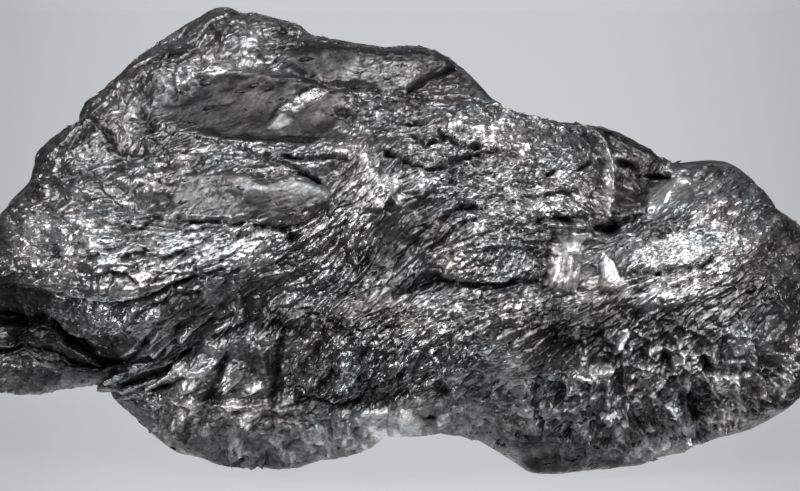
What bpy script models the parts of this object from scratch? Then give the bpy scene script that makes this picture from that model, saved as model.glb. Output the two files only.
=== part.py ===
"""A loose lump of crystalline vein graphite, about 65 x 32 x 35 mm, standing on its own underside.

Run it with blender --background --python part.py. Units are metres, +Z is up, the broad face looks
along -Y and the origin is on the ground under the middle of the lump.

The lump is a ball of even quads. Its vertices take a face outline and a front-to-back section, fracture
planes slice it, and named folds and swellings are then pressed into the two broad faces.
"""

import math

import bmesh
import bpy
import numpy as np
from mathutils import Vector, noise

MM = 0.001
NODE = "graphite_lump"

# Driving sizes, in millimetres. The depths are in front of and behind the widest section, the centre is that
# section's (x, z), and the lump sinks this far into the ground, where it is worn flat.
HALF_WIDTH = 32.8
HALF_HEIGHT = 17.9
FRONT_DEPTH = 13.6
BACK_DEPTH = 17.0
CENTRE = (0.0, 16.2)
SINK = 0.55
LEAN_DEGREES = 8.0

# Quads along each axis of the starting box, in the lump's own proportions.
QUADS = (44, 21, 24)

# Section exponents: 2 is an ellipse and more is boxier. The boxy part is low down at the back, and comes
# in over these shares of the half depth and the half height.
ROUND_SECTION = 2.25
BOXY_SECTION = 3.2
BOXY_DEPTH = (0.0, 0.5)
BOXY_DROP = (-0.2, 0.5)

# The outline's detail fades this far in front of and behind the widest section. Further out, the outline
# is averaged over this many directions within this angle.
DETAIL_IN_FRONT = 6.5
DETAIL_BEHIND = 8.0
SOFT_ANGLE_DEGREES = 22
SOFT_SAMPLES = 9

# The face outline, (x, z) in millimetres from the middle of the base, clockwise from the left end.
OUTLINE = {
    "left_end": [(-32.2, 10.2), (-32.6, 13.2), (-32.2, 16.0), (-31.2, 18.3)],
    "left_slope": [(-27.6, 22.4), (-27.4, 24.1), (-26.3, 25.6), (-24.4, 26.9), (-23.6, 28.3), (-19.1, 32.1)],
    "crown": [(-13.9, 35.3), (-12.6, 35.5), (-8.3, 34.5), (-6.5, 33.2)],
    "upper_slab": [(-0.4, 32.3), (2.2, 32.4), (3.8, 31.7), (7.6, 27.9)],
    "saddle": [(15.0, 26.5), (19.9, 24.1)],
    "right_shoulder": [(24.5, 23.8), (30.1, 19.1), (32.2, 15.4)],
    "right_end": [(32.6, 12.6), (32.3, 9.8), (31.4, 7.4), (30.0, 5.7), (27.4, 3.8)],
    "right_foot": [(18.0, 0.8), (15.0, 0.4), (9.8, 0.0)],
    "notch": [(6.0, 2.6), (4.2, 3.1), (-1.1, 3.0)],
    "belly": [(-7.6, 0.5), (-13.4, 0.7), (-17.6, 2.3)],
    "left_shelf": [(-22.2, 6.3), (-24.1, 6.5), (-27.8, 5.7), (-30.0, 6.1), (-31.3, 7.8)],
}

# Fracture planes: name: (direction it faces, millimetres that it slices off).
FRACTURES = {
    "upper_left_face": ((-0.28, -0.82, 0.50), 2.2),
    "upper_right_face": ((0.22, -0.80, 0.55), 2.6),
    "lower_right_face": ((0.16, -0.80, -0.58), 2.4),
    "lower_left_face": ((-0.20, -0.76, -0.62), 2.6),
    "right_end": ((0.82, -0.57, -0.05), 1.2),
    "back_upper_left": ((-0.42, 0.66, 0.62), 4.4),
    "back_upper_right": ((0.34, 0.62, 0.70), 3.6),
    "back_left": ((-0.72, 0.68, -0.10), 5.0),
    "back_right": ((0.62, 0.78, 0.08), 4.2),
    "back_middle": ((0.04, 0.99, -0.12), 2.6),
    "back_lower_left": ((-0.36, 0.62, -0.70), 3.0),
    "back_lower_right": ((0.48, 0.60, -0.64), 2.0),
}

# How far a fracture's edge is rounded, and the share of the sliced cap that is left as a crown.
FRACTURE_SOFTNESS = 0.5
FRACTURE_CROWN = 0.1

# Swellings and hollows: name: (x, z, half length, half width, turn in degrees, height).
FRONT_LUMPS = {
    "left_dome": (-18.4, 18.4, 10.2, 6.0, 4, 2.8),
    "crown": (-13.0, 28.5, 6.5, 3.4, 38, 0.9),
    "upper_slab_hollow": (-6.6, 28.4, 8.6, 2.6, -3, -1.2),
    "middle_lobe": (6.6, 21.8, 8.2, 5.0, 0, 2.3),
    "middle_basin": (-0.6, 17.4, 3.8, 2.8, 20, -1.6),
    "right_shoulder": (24.6, 16.8, 5.4, 4.6, 20, 2.4),
    "far_slope": (18.2, 24.2, 3.8, 2.2, -30, -1.8),
    "lower_right_block": (18.8, 7.6, 8.8, 5.0, 6, 1.9),
    "lower_middle": (1.0, 9.0, 9.5, 3.6, 0, 0.9),
    "belly": (-12.0, 3.8, 8.4, 2.8, -4, 1.0),
    "left_ledge": (-27.6, 7.4, 6.4, 2.8, -6, -1.6),
}
BACK_LUMPS = {
    "back_boss": (-13.5, 17.5, 9.0, 7.0, 20, 1.6),
    "back_hollow": (3.5, 22.0, 6.5, 4.2, -15, -1.8),
    "back_shoulder": (18.0, 16.0, 7.0, 5.0, -20, 1.3),
    "back_heel": (6.0, 5.0, 10.0, 2.8, 3, 1.0),
    "back_scoop": (-22.0, 8.0, 5.5, 3.4, -10, -1.3),
}

# Creases and ribs: name: (points along it, half width, height).
FRONT_FOLDS = {
    "left_crease": ([(-33.0, 11.8), (-28.5, 11.2), (-25.4, 10.1), (-22.2, 8.8)], 1.9, -2.7),
    "blade_line": ([(-21.5, 8.4), (-15.8, 9.8), (-12.4, 12.0), (-7.5, 13.4)], 1.6, -1.1),
    "shelf_edge": ([(-21.6, 6.4), (-15.0, 5.7), (-7.5, 5.0), (-0.8, 5.2), (3.4, 4.8)], 1.6, 0.8),
    "crown_rib": ([(-22.5, 25.3), (-18.5, 28.4), (-15.0, 30.6), (-10.5, 32.4)], 2.0, 0.8),
    "lobe_valley": ([(16.6, 25.4), (17.4, 22.4), (16.8, 19.4), (14.6, 17.6)], 2.1, -2.5),
    "under_lobe": ([(1.5, 14.2), (6.0, 14.5), (9.8, 14.9), (12.0, 16.2)], 1.6, -1.2),
    "block_edge": ([(12.0, 13.4), (11.0, 10.2), (10.4, 5.8), (9.8, 1.6)], 1.5, -1.0),
}
BACK_FOLDS = {
    "back_crease": ([(-24.0, 22.5), (-9.0, 15.6), (5.0, 13.0)], 2.0, -1.7),
    "back_rib": ([(-18.0, 26.5), (-6.0, 25.0), (6.0, 27.0)], 2.2, 1.0),
    "heel_crease": ([(-10.0, 6.4), (2.0, 9.0), (16.0, 8.4), (25.0, 10.5)], 1.9, -1.2),
}

# Rough relief over the whole lump: (wavelength, height), in millimetres. Near the widest section, where the
# outline is drawn, only a share of it is left.
RELIEF = [(12.0, 1.0), (6.0, 0.55), (3.4, 0.26)]
RELIEF_AT_OUTLINE = 0.25
OUTLINE_BAND = 5.0
RELIEF_SEED = Vector((3.7, 11.3, 5.1))

SMOOTHING_PASSES = 1
SMOOTHING_FACTOR = 0.5

# Where the named lumps and folds fade out: how squarely the surface has to face front or back.
FACING_FADE = (0.05, 0.45)

GRAPHITE_COLOUR = (0.17, 0.175, 0.18, 1.0)
GRAPHITE_ROUGHNESS = 0.38
GRAPHITE_METALLIC = 0.9


def clear_scene():
    """Removes every object, so that only the lump is left at the end."""
    for obj in list(bpy.data.objects):
        bpy.data.objects.remove(obj)


def quad_ball():
    """A bmesh box cut into even quads along each axis, with its vertices pushed out to the unit sphere."""
    bm = bmesh.new()
    bmesh.ops.create_cube(bm, size=2.0)
    for axis, quads in enumerate(QUADS):
        along = [e for e in bm.edges if abs((e.verts[0].co - e.verts[1].co)[axis]) > 1.0]
        bmesh.ops.subdivide_edges(bm, edges=along, cuts=quads - 1, use_grid_fill=True)
    for vert in bm.verts:
        vert.co.normalize()
    return bm


def outline_radius(angle):
    """How far the outline is from the centre at each angle, as a share of the half width and half height."""
    points = np.array([point for stretch in OUTLINE.values() for point in stretch])
    across = (points[:, 0] - CENTRE[0]) / HALF_WIDTH
    up = (points[:, 1] - CENTRE[1]) / HALF_HEIGHT
    order = np.argsort(np.arctan2(up, across))
    return np.interp(angle, np.arctan2(up, across)[order], np.hypot(across, up)[order], period=2 * math.pi)


def soft_radius(angle):
    """The outline's radius averaged over the angles near each angle."""
    offsets = np.radians(np.linspace(-SOFT_ANGLE_DEGREES, SOFT_ANGLE_DEGREES, SOFT_SAMPLES))
    return np.mean([outline_radius(angle + offset) for offset in offsets], axis=0)


def smooth(value, low, high):
    """0 below low, 1 above high, and a smooth rise between them."""
    share = np.clip((value - low) / (high - low), 0.0, 1.0)
    return share * share * (3 - 2 * share)


def shaped(ball):
    """Unit-sphere points moved to the lump's outline and section: across, front to back, and up."""
    angle = np.arctan2(ball[:, 2], ball[:, 0])
    reach = np.hypot(ball[:, 0], ball[:, 2])
    depth = np.abs(ball[:, 1])
    boxy = smooth(ball[:, 1], *BOXY_DEPTH) * smooth(-ball[:, 2], *BOXY_DROP)
    power = ROUND_SECTION + (BOXY_SECTION - ROUND_SECTION) * boxy
    size = (reach**power + depth**power) ** (1 / power)
    reach, depth = reach / size, depth / size
    in_front = ball[:, 1] < 0
    depth *= np.where(in_front, -FRONT_DEPTH, BACK_DEPTH)
    detail = np.exp(-((depth / np.where(in_front, DETAIL_IN_FRONT, DETAIL_BEHIND)) ** 2))
    radius = reach * (soft_radius(angle) * (1 - detail) + outline_radius(angle) * detail)
    return np.column_stack(
        (
            CENTRE[0] + HALF_WIDTH * radius * np.cos(angle),
            depth,
            CENTRE[1] + HALF_HEIGHT * radius * np.sin(angle),
        )
    )


def fractured(points):
    """The lump after each fracture plane has sliced a cap off, with a soft edge and a slight crown left."""
    for facing, slice_depth in FRACTURES.values():
        facing = np.array(facing) / np.linalg.norm(facing)
        height = points @ facing
        past = (height - height.max() + slice_depth) / FRACTURE_SOFTNESS
        cut = FRACTURE_SOFTNESS * np.logaddexp(0.0, past)
        points = points - facing * (cut * (1 - FRACTURE_CROWN))[:, None]
    return points


def lump_height(x, z, lump):
    """The height of one oval swelling at points of a face."""
    at_x, at_z, length, width, turn, height = lump
    c, s = math.cos(math.radians(turn)), math.sin(math.radians(turn))
    along = ((x - at_x) * c + (z - at_z) * s) / length
    across = ((z - at_z) * c - (x - at_x) * s) / width
    return height * np.exp(-(along**2) - across**2)


def fold_height(x, z, fold):
    """The height of one crease or rib at points of a face, by their distance from its line."""
    path, width, height = fold
    nearest = np.full(len(x), np.inf)
    for (ax, az), (bx, bz) in zip(path, path[1:]):
        dx, dz = bx - ax, bz - az
        share = np.clip(((x - ax) * dx + (z - az) * dz) / (dx * dx + dz * dz), 0.0, 1.0)
        nearest = np.minimum(nearest, np.hypot(x - ax - share * dx, z - az - share * dz))
    return height * np.exp(-((nearest / width) ** 2))


def face_relief(points, normals):
    """How far the named lumps and folds push each point out, fading away towards the face's outline."""
    x, z = points[:, 0], points[:, 2]
    front = sum(lump_height(x, z, lump) for lump in FRONT_LUMPS.values())
    front += sum(fold_height(x, z, fold) for fold in FRONT_FOLDS.values())
    back = sum(lump_height(x, z, lump) for lump in BACK_LUMPS.values())
    back += sum(fold_height(x, z, fold) for fold in BACK_FOLDS.values())
    return front * smooth(-normals[:, 1], *FACING_FADE) + back * smooth(normals[:, 1], *FACING_FADE)


def rough_relief(points):
    """Rough relief from three sizes of noise."""
    total = np.zeros(len(points))
    for wavelength, height in RELIEF:
        total += height * np.array([noise.noise(Vector(p) / wavelength + RELIEF_SEED) for p in points])
    return total * (1 - (1 - RELIEF_AT_OUTLINE) * np.exp(-((points[:, 1] / OUTLINE_BAND) ** 2)))


def vertex_array(bm):
    return np.array([v.co for v in bm.verts])


def normal_array(bm):
    bm.normal_update()
    return np.array([v.normal for v in bm.verts])


def move_vertices(bm, points):
    for vert, point in zip(bm.verts, points):
        vert.co = point


def lean_back(points):
    """Tips the face back about the base line, then lowers it a little into the ground."""
    c, s = math.cos(math.radians(LEAN_DEGREES)), math.sin(math.radians(LEAN_DEGREES))
    x, depth, height = points.T
    return np.column_stack((x, depth * c + height * s, height * c - depth * s - SINK))


def stood(points):
    """The underside worn flat where it meets the ground, and the origin under the middle of the lump."""
    points[:, 2] = np.maximum(points[:, 2], 0.0)
    middle = (points.min(axis=0) + points.max(axis=0)) / 2
    return points - np.array([middle[0], middle[1], 0.0])


def graphite_material():
    material = bpy.data.materials.new("graphite")
    material.use_nodes = True
    shader = material.node_tree.nodes["Principled BSDF"]
    shader.inputs["Base Color"].default_value = GRAPHITE_COLOUR
    shader.inputs["Roughness"].default_value = GRAPHITE_ROUGHNESS
    shader.inputs["Metallic"].default_value = GRAPHITE_METALLIC
    return material


def graphite_lump():
    """The whole specimen, one solid."""
    bm = quad_ball()
    move_vertices(bm, fractured(shaped(vertex_array(bm))))
    points, normals = vertex_array(bm), normal_array(bm)
    points += normals * (face_relief(points, normals) + rough_relief(points))[:, None]
    move_vertices(bm, points)
    for _ in range(SMOOTHING_PASSES):
        bmesh.ops.smooth_vert(
            bm, verts=bm.verts, factor=SMOOTHING_FACTOR, use_axis_x=True, use_axis_y=True, use_axis_z=True
        )
    move_vertices(bm, stood(lean_back(vertex_array(bm))) * MM)
    bmesh.ops.triangulate(bm, faces=bm.faces, quad_method="SHORT_EDGE")
    bmesh.ops.recalc_face_normals(bm, faces=bm.faces)
    mesh = bpy.data.meshes.new(NODE)
    bm.to_mesh(mesh)
    bm.free()
    mesh.shade_smooth()
    mesh.materials.append(graphite_material())
    return bpy.data.objects.new(NODE, mesh)


def main():
    clear_scene()
    specimen = bpy.data.collections.new("graphite_specimen")
    bpy.context.scene.collection.children.link(specimen)
    specimen.objects.link(graphite_lump())


main()
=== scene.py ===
"""The looks of a lump of crystalline vein graphite.

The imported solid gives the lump's gross form. Its surface is remeshed finely, given the folds, cracks, ledges
and striations of the broad face, and then covered with thin flakes of graphite that lie along the grain.

Places on the broad face are named in picture coordinates: 800 by 491, from the top left corner, as the main
camera sees them. Angles there are in degrees, and positive ones rise to the right. Relief is in millimetres.
"""

import math

import bmesh
import bpy
import numpy as np
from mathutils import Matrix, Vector


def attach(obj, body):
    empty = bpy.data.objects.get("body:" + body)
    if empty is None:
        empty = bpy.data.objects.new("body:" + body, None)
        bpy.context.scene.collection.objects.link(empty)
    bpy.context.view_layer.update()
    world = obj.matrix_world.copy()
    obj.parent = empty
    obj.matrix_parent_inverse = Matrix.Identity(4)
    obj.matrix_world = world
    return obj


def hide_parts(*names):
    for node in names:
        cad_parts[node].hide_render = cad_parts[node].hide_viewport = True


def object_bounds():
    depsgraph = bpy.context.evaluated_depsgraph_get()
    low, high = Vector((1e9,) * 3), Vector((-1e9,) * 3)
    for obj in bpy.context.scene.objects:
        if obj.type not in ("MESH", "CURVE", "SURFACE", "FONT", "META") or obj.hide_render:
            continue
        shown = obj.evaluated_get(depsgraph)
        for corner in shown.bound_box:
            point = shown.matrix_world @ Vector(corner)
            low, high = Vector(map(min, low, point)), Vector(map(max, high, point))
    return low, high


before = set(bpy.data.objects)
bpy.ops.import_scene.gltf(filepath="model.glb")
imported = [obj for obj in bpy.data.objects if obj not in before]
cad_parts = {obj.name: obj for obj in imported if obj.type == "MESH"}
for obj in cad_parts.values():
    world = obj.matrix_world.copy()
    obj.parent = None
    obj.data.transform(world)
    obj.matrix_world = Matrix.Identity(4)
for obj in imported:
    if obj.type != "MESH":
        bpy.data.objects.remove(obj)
CAD_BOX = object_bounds()

MM = 0.001
NODE = "graphite_lump"

# ---------------------------------------------------------------------------------------------- the camera

PICTURE_WIDTH = 800
PICTURE_HEIGHT = 491
LENS = 160.0
SENSOR = 36.0
ELEVATION = math.radians(8.0)
DISTANCE = 0.2685
AIM = np.array([0.0, 0.0, 0.01634])

LOOK = np.array([0.0, math.cos(ELEVATION), -math.sin(ELEVATION)])
UP = np.array([0.0, math.sin(ELEVATION), math.cos(ELEVATION)])
RIGHT = np.array([1.0, 0.0, 0.0])
EYE = AIM - LOOK * DISTANCE
FOCAL = LENS / SENSOR * PICTURE_WIDTH
MIDDLE = np.array([PICTURE_WIDTH / 2, PICTURE_HEIGHT / 2])

# ---------------------------------------------------------------------------- the broad face, in the picture

# The outline, clockwise from the left of the top. Past the picture's sides it is a guess.
OUTLINE_CENTRE = np.array([400.0, 262.0])
OUTLINE = [
    (0, 210), (12, 196), (26, 182), (33, 168), (36, 152), (48, 138), (64, 126), (76, 121), (86, 100),
    (100, 90), (120, 72), (140, 54), (160, 41), (180, 27), (200, 16), (215, 7), (228, 5), (240, 9),
    (260, 12), (280, 17), (300, 23), (312, 33), (330, 38), (360, 43), (385, 47), (420, 46), (436, 50),
    (450, 58), (466, 70), (480, 84), (492, 98), (506, 107), (520, 112), (545, 118), (570, 122),
    (600, 125), (620, 131), (640, 142), (660, 154), (680, 158), (705, 158), (720, 158), (732, 161),
    (745, 170), (760, 184), (780, 206), (799, 220), (812, 233), (822, 251), (828, 279), (828, 311),
    (824, 345), (816, 374), (808, 391), (800, 400), (790, 410), (760, 428), (740, 436), (720, 441),
    (700, 447), (680, 456), (660, 459), (640, 467), (600, 471), (570, 474), (540, 477), (528, 474),
    (520, 469), (500, 456), (480, 443), (460, 437), (440, 434), (400, 437), (384, 438), (376, 446),
    (360, 454), (320, 462), (300, 469), (260, 470), (220, 467), (200, 459), (180, 455), (160, 442),
    (140, 423), (120, 406), (108, 394), (90, 393), (70, 390), (48, 394), (30, 402), (18, 400), (0, 397),
    (-12, 389), (-22, 366), (-28, 335), (-29, 300), (-27, 268), (-20, 241), (-10, 222),
]

# How the lump is fitted to it: directions round the centre, the least and the most change, the width of its
# smoothing, the shares of the reach where the change sets in and is full, and where the relief grows weaker.
OUTLINE_BINS = 720
OUTLINE_CHANGE = (0.85, 1.12)
OUTLINE_KERNEL = 5
OUTLINE_SHARE = (0.45, 0.95)
OUTLINE_EDGE = (0.94, 0.995)
OUTLINE_CALM = 0.7

# The grain's direction: (x, y, angle).
GRAIN = [
    (60, 150, 40), (100, 110, 42), (150, 70, 38), (190, 40, 35), (228, 20, 28), (250, 50, 30),
    (290, 35, 5), (200, 100, 12), (250, 110, 13), (300, 90, 12), (350, 75, 2), (400, 85, 0),
    (450, 60, -4), (450, 100, -6), (490, 120, -10), (10, 230, 20), (60, 200, 10), (120, 190, 5),
    (160, 220, 2), (100, 240, 3), (200, 200, 2), (250, 195, 3), (300, 200, 5), (60, 270, 4),
    (120, 280, 10), (170, 270, 15), (200, 250, 18), (260, 255, 30), (300, 240, 34), (300, 290, 32),
    (340, 215, 55), (355, 245, 62), (345, 190, 50), (370, 175, 60), (385, 235, 62), (400, 265, 50),
    (385, 285, 40), (430, 240, 40), (460, 260, 32), (430, 205, 30), (430, 130, -4), (480, 150, 0),
    (520, 160, -2), (550, 180, -6), (500, 200, 8), (460, 180, 6), (560, 215, 12), (580, 140, -28),
    (600, 158, -52), (612, 190, -78), (640, 160, -30), (630, 200, 20), (665, 200, 38), (640, 225, 36),
    (690, 180, 38), (730, 190, 48), (700, 250, 24), (660, 270, 24), (740, 225, 25), (620, 280, 30),
    (720, 285, 24), (770, 240, 40), (785, 290, 66), (765, 340, 70), (20, 330, -10), (60, 350, -16),
    (100, 362, -14), (40, 385, -3), (90, 385, 2), (150, 350, 32), (200, 345, 34), (130, 380, 26),
    (180, 380, 34), (235, 300, 40), (250, 350, 58), (290, 350, 62), (325, 340, 60), (350, 370, 52),
    (400, 325, 40), (400, 380, 44), (450, 350, 40), (480, 380, 42), (420, 305, 28), (480, 310, 24),
    (540, 300, 22), (150, 435, -38), (200, 450, -18), (250, 460, -2), (300, 455, 5), (350, 440, 18),
    (130, 410, -40), (250, 420, 8), (560, 360, 46), (620, 340, 42), (680, 330, 34), (740, 320, 30),
    (560, 420, 20), (620, 400, 52), (700, 400, 44), (600, 462, 4), (560, 468, -2), (700, 440, 20),
    (760, 400, 50), (500, 440, -32), (440, 425, 0),
]

# Relief along lines: name: (points, half width in pixels, height in millimetres). Cracks are negative.
LINES = {
    "brow_shadow": ([(166, 96), (185, 99), (205, 95), (232, 90)], 4.5, -0.1),
    "crown_pit": ([(163, 60), (172, 56), (180, 52)], 4.0, -0.35),
    "shoulder_pit": ([(142, 113), (148, 122), (152, 131)], 5.5, -0.35),
    "left_notch_crack": ([(100, 124), (108, 137), (120, 148), (140, 150)], 3.2, -0.4),
    "slab_top_crack": ([(165, 103), (190, 104), (232, 98)], 2.0, -0.1),
    "lens_under_crack": ([(176, 212), (190, 217), (206, 221), (240, 222)], 2.6, -0.5),
    "small_lens_under": ([(117, 222), (128, 227), (143, 226), (151, 216)], 2.8, -0.4),
    "arch_ridge": ([(84, 246), (110, 240), (140, 233), (166, 229), (200, 233)], 2.0, 0.16),
    "arch_groove": ([(88, 250), (112, 246), (142, 239), (168, 235), (198, 239)], 2.0, -0.18),
    "bright_lens_under": ([(144, 254), (156, 259), (172, 258), (182, 253)], 2.0, -0.3),
    "dome_crack_1": ([(190, 276), (202, 268), (220, 262)], 2.6, -0.4),
    "dome_crack_2": ([(150, 268), (165, 275), (182, 277)], 2.0, -0.25),
    "dark_band": ([(222, 272), (192, 280), (168, 290), (144, 297), (112, 303),
                   (86, 308), (62, 312)], 4.2, -0.75),
    "dark_band_lower": ([(200, 300), (170, 304), (140, 313)], 2.6, -0.35),
    "dome_hole": ([(46, 246), (52, 255), (58, 260)], 5.5, -0.45),
    "slab_crack_1": ([(236, 146), (262, 157), (280, 161), (300, 168), (320, 178)], 2.4, -0.6),
    "slab_crack_2": ([(262, 152), (284, 153), (306, 156), (330, 155), (347, 156)], 2.4, -0.65),
    "slab_crack_3": ([(336, 107), (350, 110), (370, 112)], 2.2, -0.3),
    "slab_crack_4": ([(250, 126), (290, 123), (330, 128)], 2.0, -0.3),
    "side_lens_crack": ([(256, 226), (272, 229), (288, 233), (292, 241)], 2.8, -0.5),
    "cap_crack": ([(402, 90), (415, 83), (424, 76), (434, 72), (450, 71), (468, 70)], 2.5, -0.65),
    "lobe_hole": ([(404, 119), (411, 121), (418, 124)], 4.2, -0.8),
    "lobe_crack_1": ([(386, 149), (397, 152), (406, 158), (416, 164),
                      (426, 167), (440, 165)], 2.9, -0.85),
    "lobe_crack_2": ([(440, 165), (452, 163), (470, 156), (485, 155), (500, 150)], 2.3, -0.7),
    "lobe_crack_3": ([(413, 136), (419, 143), (427, 147), (438, 144)], 2.2, -0.6),
    "lobe_crack_4": ([(440, 138), (452, 145), (466, 150), (480, 149)], 2.0, -0.5),
    "lobe_crack_5": ([(500, 172), (520, 168), (540, 166), (560, 160)], 1.7, -0.3),
    "lobe_crack_6": ([(520, 196), (545, 194), (566, 190), (580, 192)], 2.4, -0.5),
    "lobe_crack_7": ([(470, 118), (500, 128), (530, 130)], 1.7, -0.25),
    "lobe_crack_8": ([(548, 172), (562, 165), (578, 168), (592, 160)], 2.4, -0.5),
    "rim_groove": ([(570, 131), (584, 138), (596, 150), (602, 166), (600, 182), (594, 196)], 2.4, -0.4),
    "rim_ridge": ([(572, 123), (588, 130), (602, 144), (611, 160), (614, 178),
                   (612, 196), (606, 214)], 4.2, 0.5),
    "valley_hole_1": ([(620, 163), (627, 165), (632, 167)], 3.4, -0.6),
    "valley_hole_2": ([(653, 172), (660, 172), (667, 173)], 4.2, -0.8),
    "under_rim_hole": ([(596, 228), (606, 228), (618, 225)], 5.0, -1.1),
    "under_rim_wedge": ([(618, 225), (632, 219), (646, 211)], 3.6, -0.6),
    "groove_edge": ([(640, 222), (652, 210), (668, 198), (690, 182)], 3.0, 0.35),
    "groove_line": ([(652, 222), (672, 210), (694, 192)], 2.2, -0.2),
    "shoulder_crack": ([(624, 275), (640, 274), (664, 272), (690, 270),
                        (702, 266), (710, 260)], 3.0, -0.65),
    "shoulder_crack_2": ([(600, 288), (618, 292), (636, 284), (650, 279)], 2.0, -0.34),
    "highlight_ridge": ([(374, 170), (380, 182), (390, 190), (396, 206)], 4.2, 0.45),
    "converging_ridge": ([(350, 190), (362, 178), (368, 160), (366, 146)], 3.4, 0.3),
    "basin_wedge": ([(440, 219), (452, 214), (464, 208), (474, 206)], 3.0, -0.6),
    "basin_wedge_2": ([(428, 248), (446, 236), (466, 224), (486, 214)], 2.4, -0.4),
    "overhang_slot": ([(396, 292), (414, 288), (436, 281), (456, 280), (476, 284)], 3.2, -0.4),
    "overhang_slot_2": ([(480, 281), (500, 283), (520, 282), (540, 284)], 3.0, -0.45),
    "lobe_shadow": ([(540, 222), (560, 219), (580, 216), (598, 214)], 4.0, -0.5),
    "patch_left_edge": ([(556, 236), (550, 262), (546, 288)], 2.4, -0.3),
    "deep_crease": ([(-33, 316), (20, 325), (56, 334), (78, 346), (104, 361), (122, 367)], 6.0, -1.3),
    "crease_floor": ([(-20, 352), (20, 356), (60, 362), (96, 370)], 5.0, -0.6),
    "sliver_gap_1": ([(112, 380), (140, 364), (166, 348), (190, 336), (214, 322)], 2.4, -0.6),
    "sliver_gap_2": ([(120, 388), (146, 378), (168, 368), (186, 352)], 2.2, -0.6),
    "sliver_gap_3": ([(150, 392), (172, 384), (188, 372)], 2.2, -0.4),
    "plate_shadow": ([(204, 402), (212, 388), (218, 372), (226, 356)], 4.8, -0.42),
    "dark_slot": ([(282, 334), (278, 350), (276, 372), (270, 402)], 4.6, -0.4),
    "slot_right": ([(305, 392), (318, 384), (330, 372)], 3.8, -0.4),
    "belly_ledge": ([(110, 398), (150, 402), (200, 404), (262, 408), (330, 412),
                     (372, 408), (440, 414)], 3.4, 0.3),
    "belly_gap": ([(300, 400), (330, 404), (356, 400)], 3.4, -0.5),
    "shelf_gap": ([(414, 410), (424, 414), (432, 412)], 3.6, -0.5),
    "shaded_hole": ([(438, 384), (442, 390), (445, 396)], 4.2, -0.5),
    "block_edge": ([(546, 350), (538, 372), (536, 398), (540, 424)], 2.6, -0.25),
    "yellow_ridge": ([(584, 360), (576, 376), (568, 396)], 3.4, 0.3),
    "block_pit_1": ([(662, 350), (666, 358), (664, 366)], 4.5, -0.3),
    "block_pit_2": ([(700, 350), (706, 360), (710, 372)], 4.5, -0.35),
    "block_pit_3": ([(684, 384), (690, 400), (698, 420)], 4.5, -0.3),
    "block_pit_4": ([(752, 414), (764, 408), (776, 400)], 4.5, -0.35),
    "block_ridge_2": ([(648, 448), (662, 444), (671, 434), (680, 420), (676, 408)], 3.2, 0.32),
    "sliver_1": ([(90, 386), (116, 378), (150, 360), (180, 346), (210, 322), (234, 310)], 3.0, 0.5),
    "sliver_2": ([(116, 382), (136, 374), (156, 366), (176, 364)], 2.4, 0.4),
    "sliver_3": ([(130, 371), (156, 356), (172, 347)], 2.4, 0.4),
    "sliver_4": ([(150, 346), (160, 332), (190, 315)], 2.2, 0.35),
    "sliver_5": ([(152, 390), (166, 376), (178, 364)], 2.4, 0.4),
    "sliver_6": ([(104, 372), (130, 362), (150, 352)], 2.2, 0.35),
    "sliver_gap_4": ([(126, 360), (144, 347), (156, 334)], 2.2, -0.5),
    "block_ridge_3": ([(756, 356), (757, 374), (762, 394)], 3.0, 0.28),
    "block_ridge_4": ([(650, 354), (660, 349), (680, 348), (686, 340), (692, 336)], 2.8, 0.28),
    "block_ridge_5": ([(674, 364), (684, 358), (692, 346), (702, 350),
                       (712, 356), (721, 365)], 2.8, 0.28),
    "block_ridge_6": ([(724, 330), (734, 334), (745, 328)], 3.0, 0.32),
    "block_ridge_7": ([(674, 364), (678, 374), (684, 386), (677, 398), (676, 410)], 3.2, 0.32),
    "block_ridge_8": ([(688, 384), (700, 374), (714, 375), (722, 386),
                       (742, 388), (758, 402)], 3.2, 0.32),
    "block_ridge_9": ([(762, 394), (778, 382), (784, 366), (790, 348)], 3.6, 0.32),
    "block_ridge_10": ([(722, 406), (740, 404), (756, 404)], 2.6, 0.24),
    "block_ridge_11": ([(692, 427), (708, 422), (722, 418), (740, 410)], 2.8, 0.28),
    "block_ridge_12": ([(612, 370), (610, 386), (608, 402), (608, 418)], 2.4, 0.28),
    "block_ridge_13": ([(604, 418), (620, 402), (628, 390), (644, 382)], 3.0, 0.32),
    "block_ridge_14": ([(620, 418), (636, 430), (648, 443)], 2.8, 0.28),
    "block_ridge_15": ([(524, 380), (533, 393), (527, 402)], 3.2, 0.28),
    "block_ridge_16": ([(530, 404), (550, 402), (576, 407)], 3.0, 0.28),
    "right_edge_groove": ([(744, 168), (762, 190), (780, 212), (800, 236)], 3.6, -0.4),
}

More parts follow.
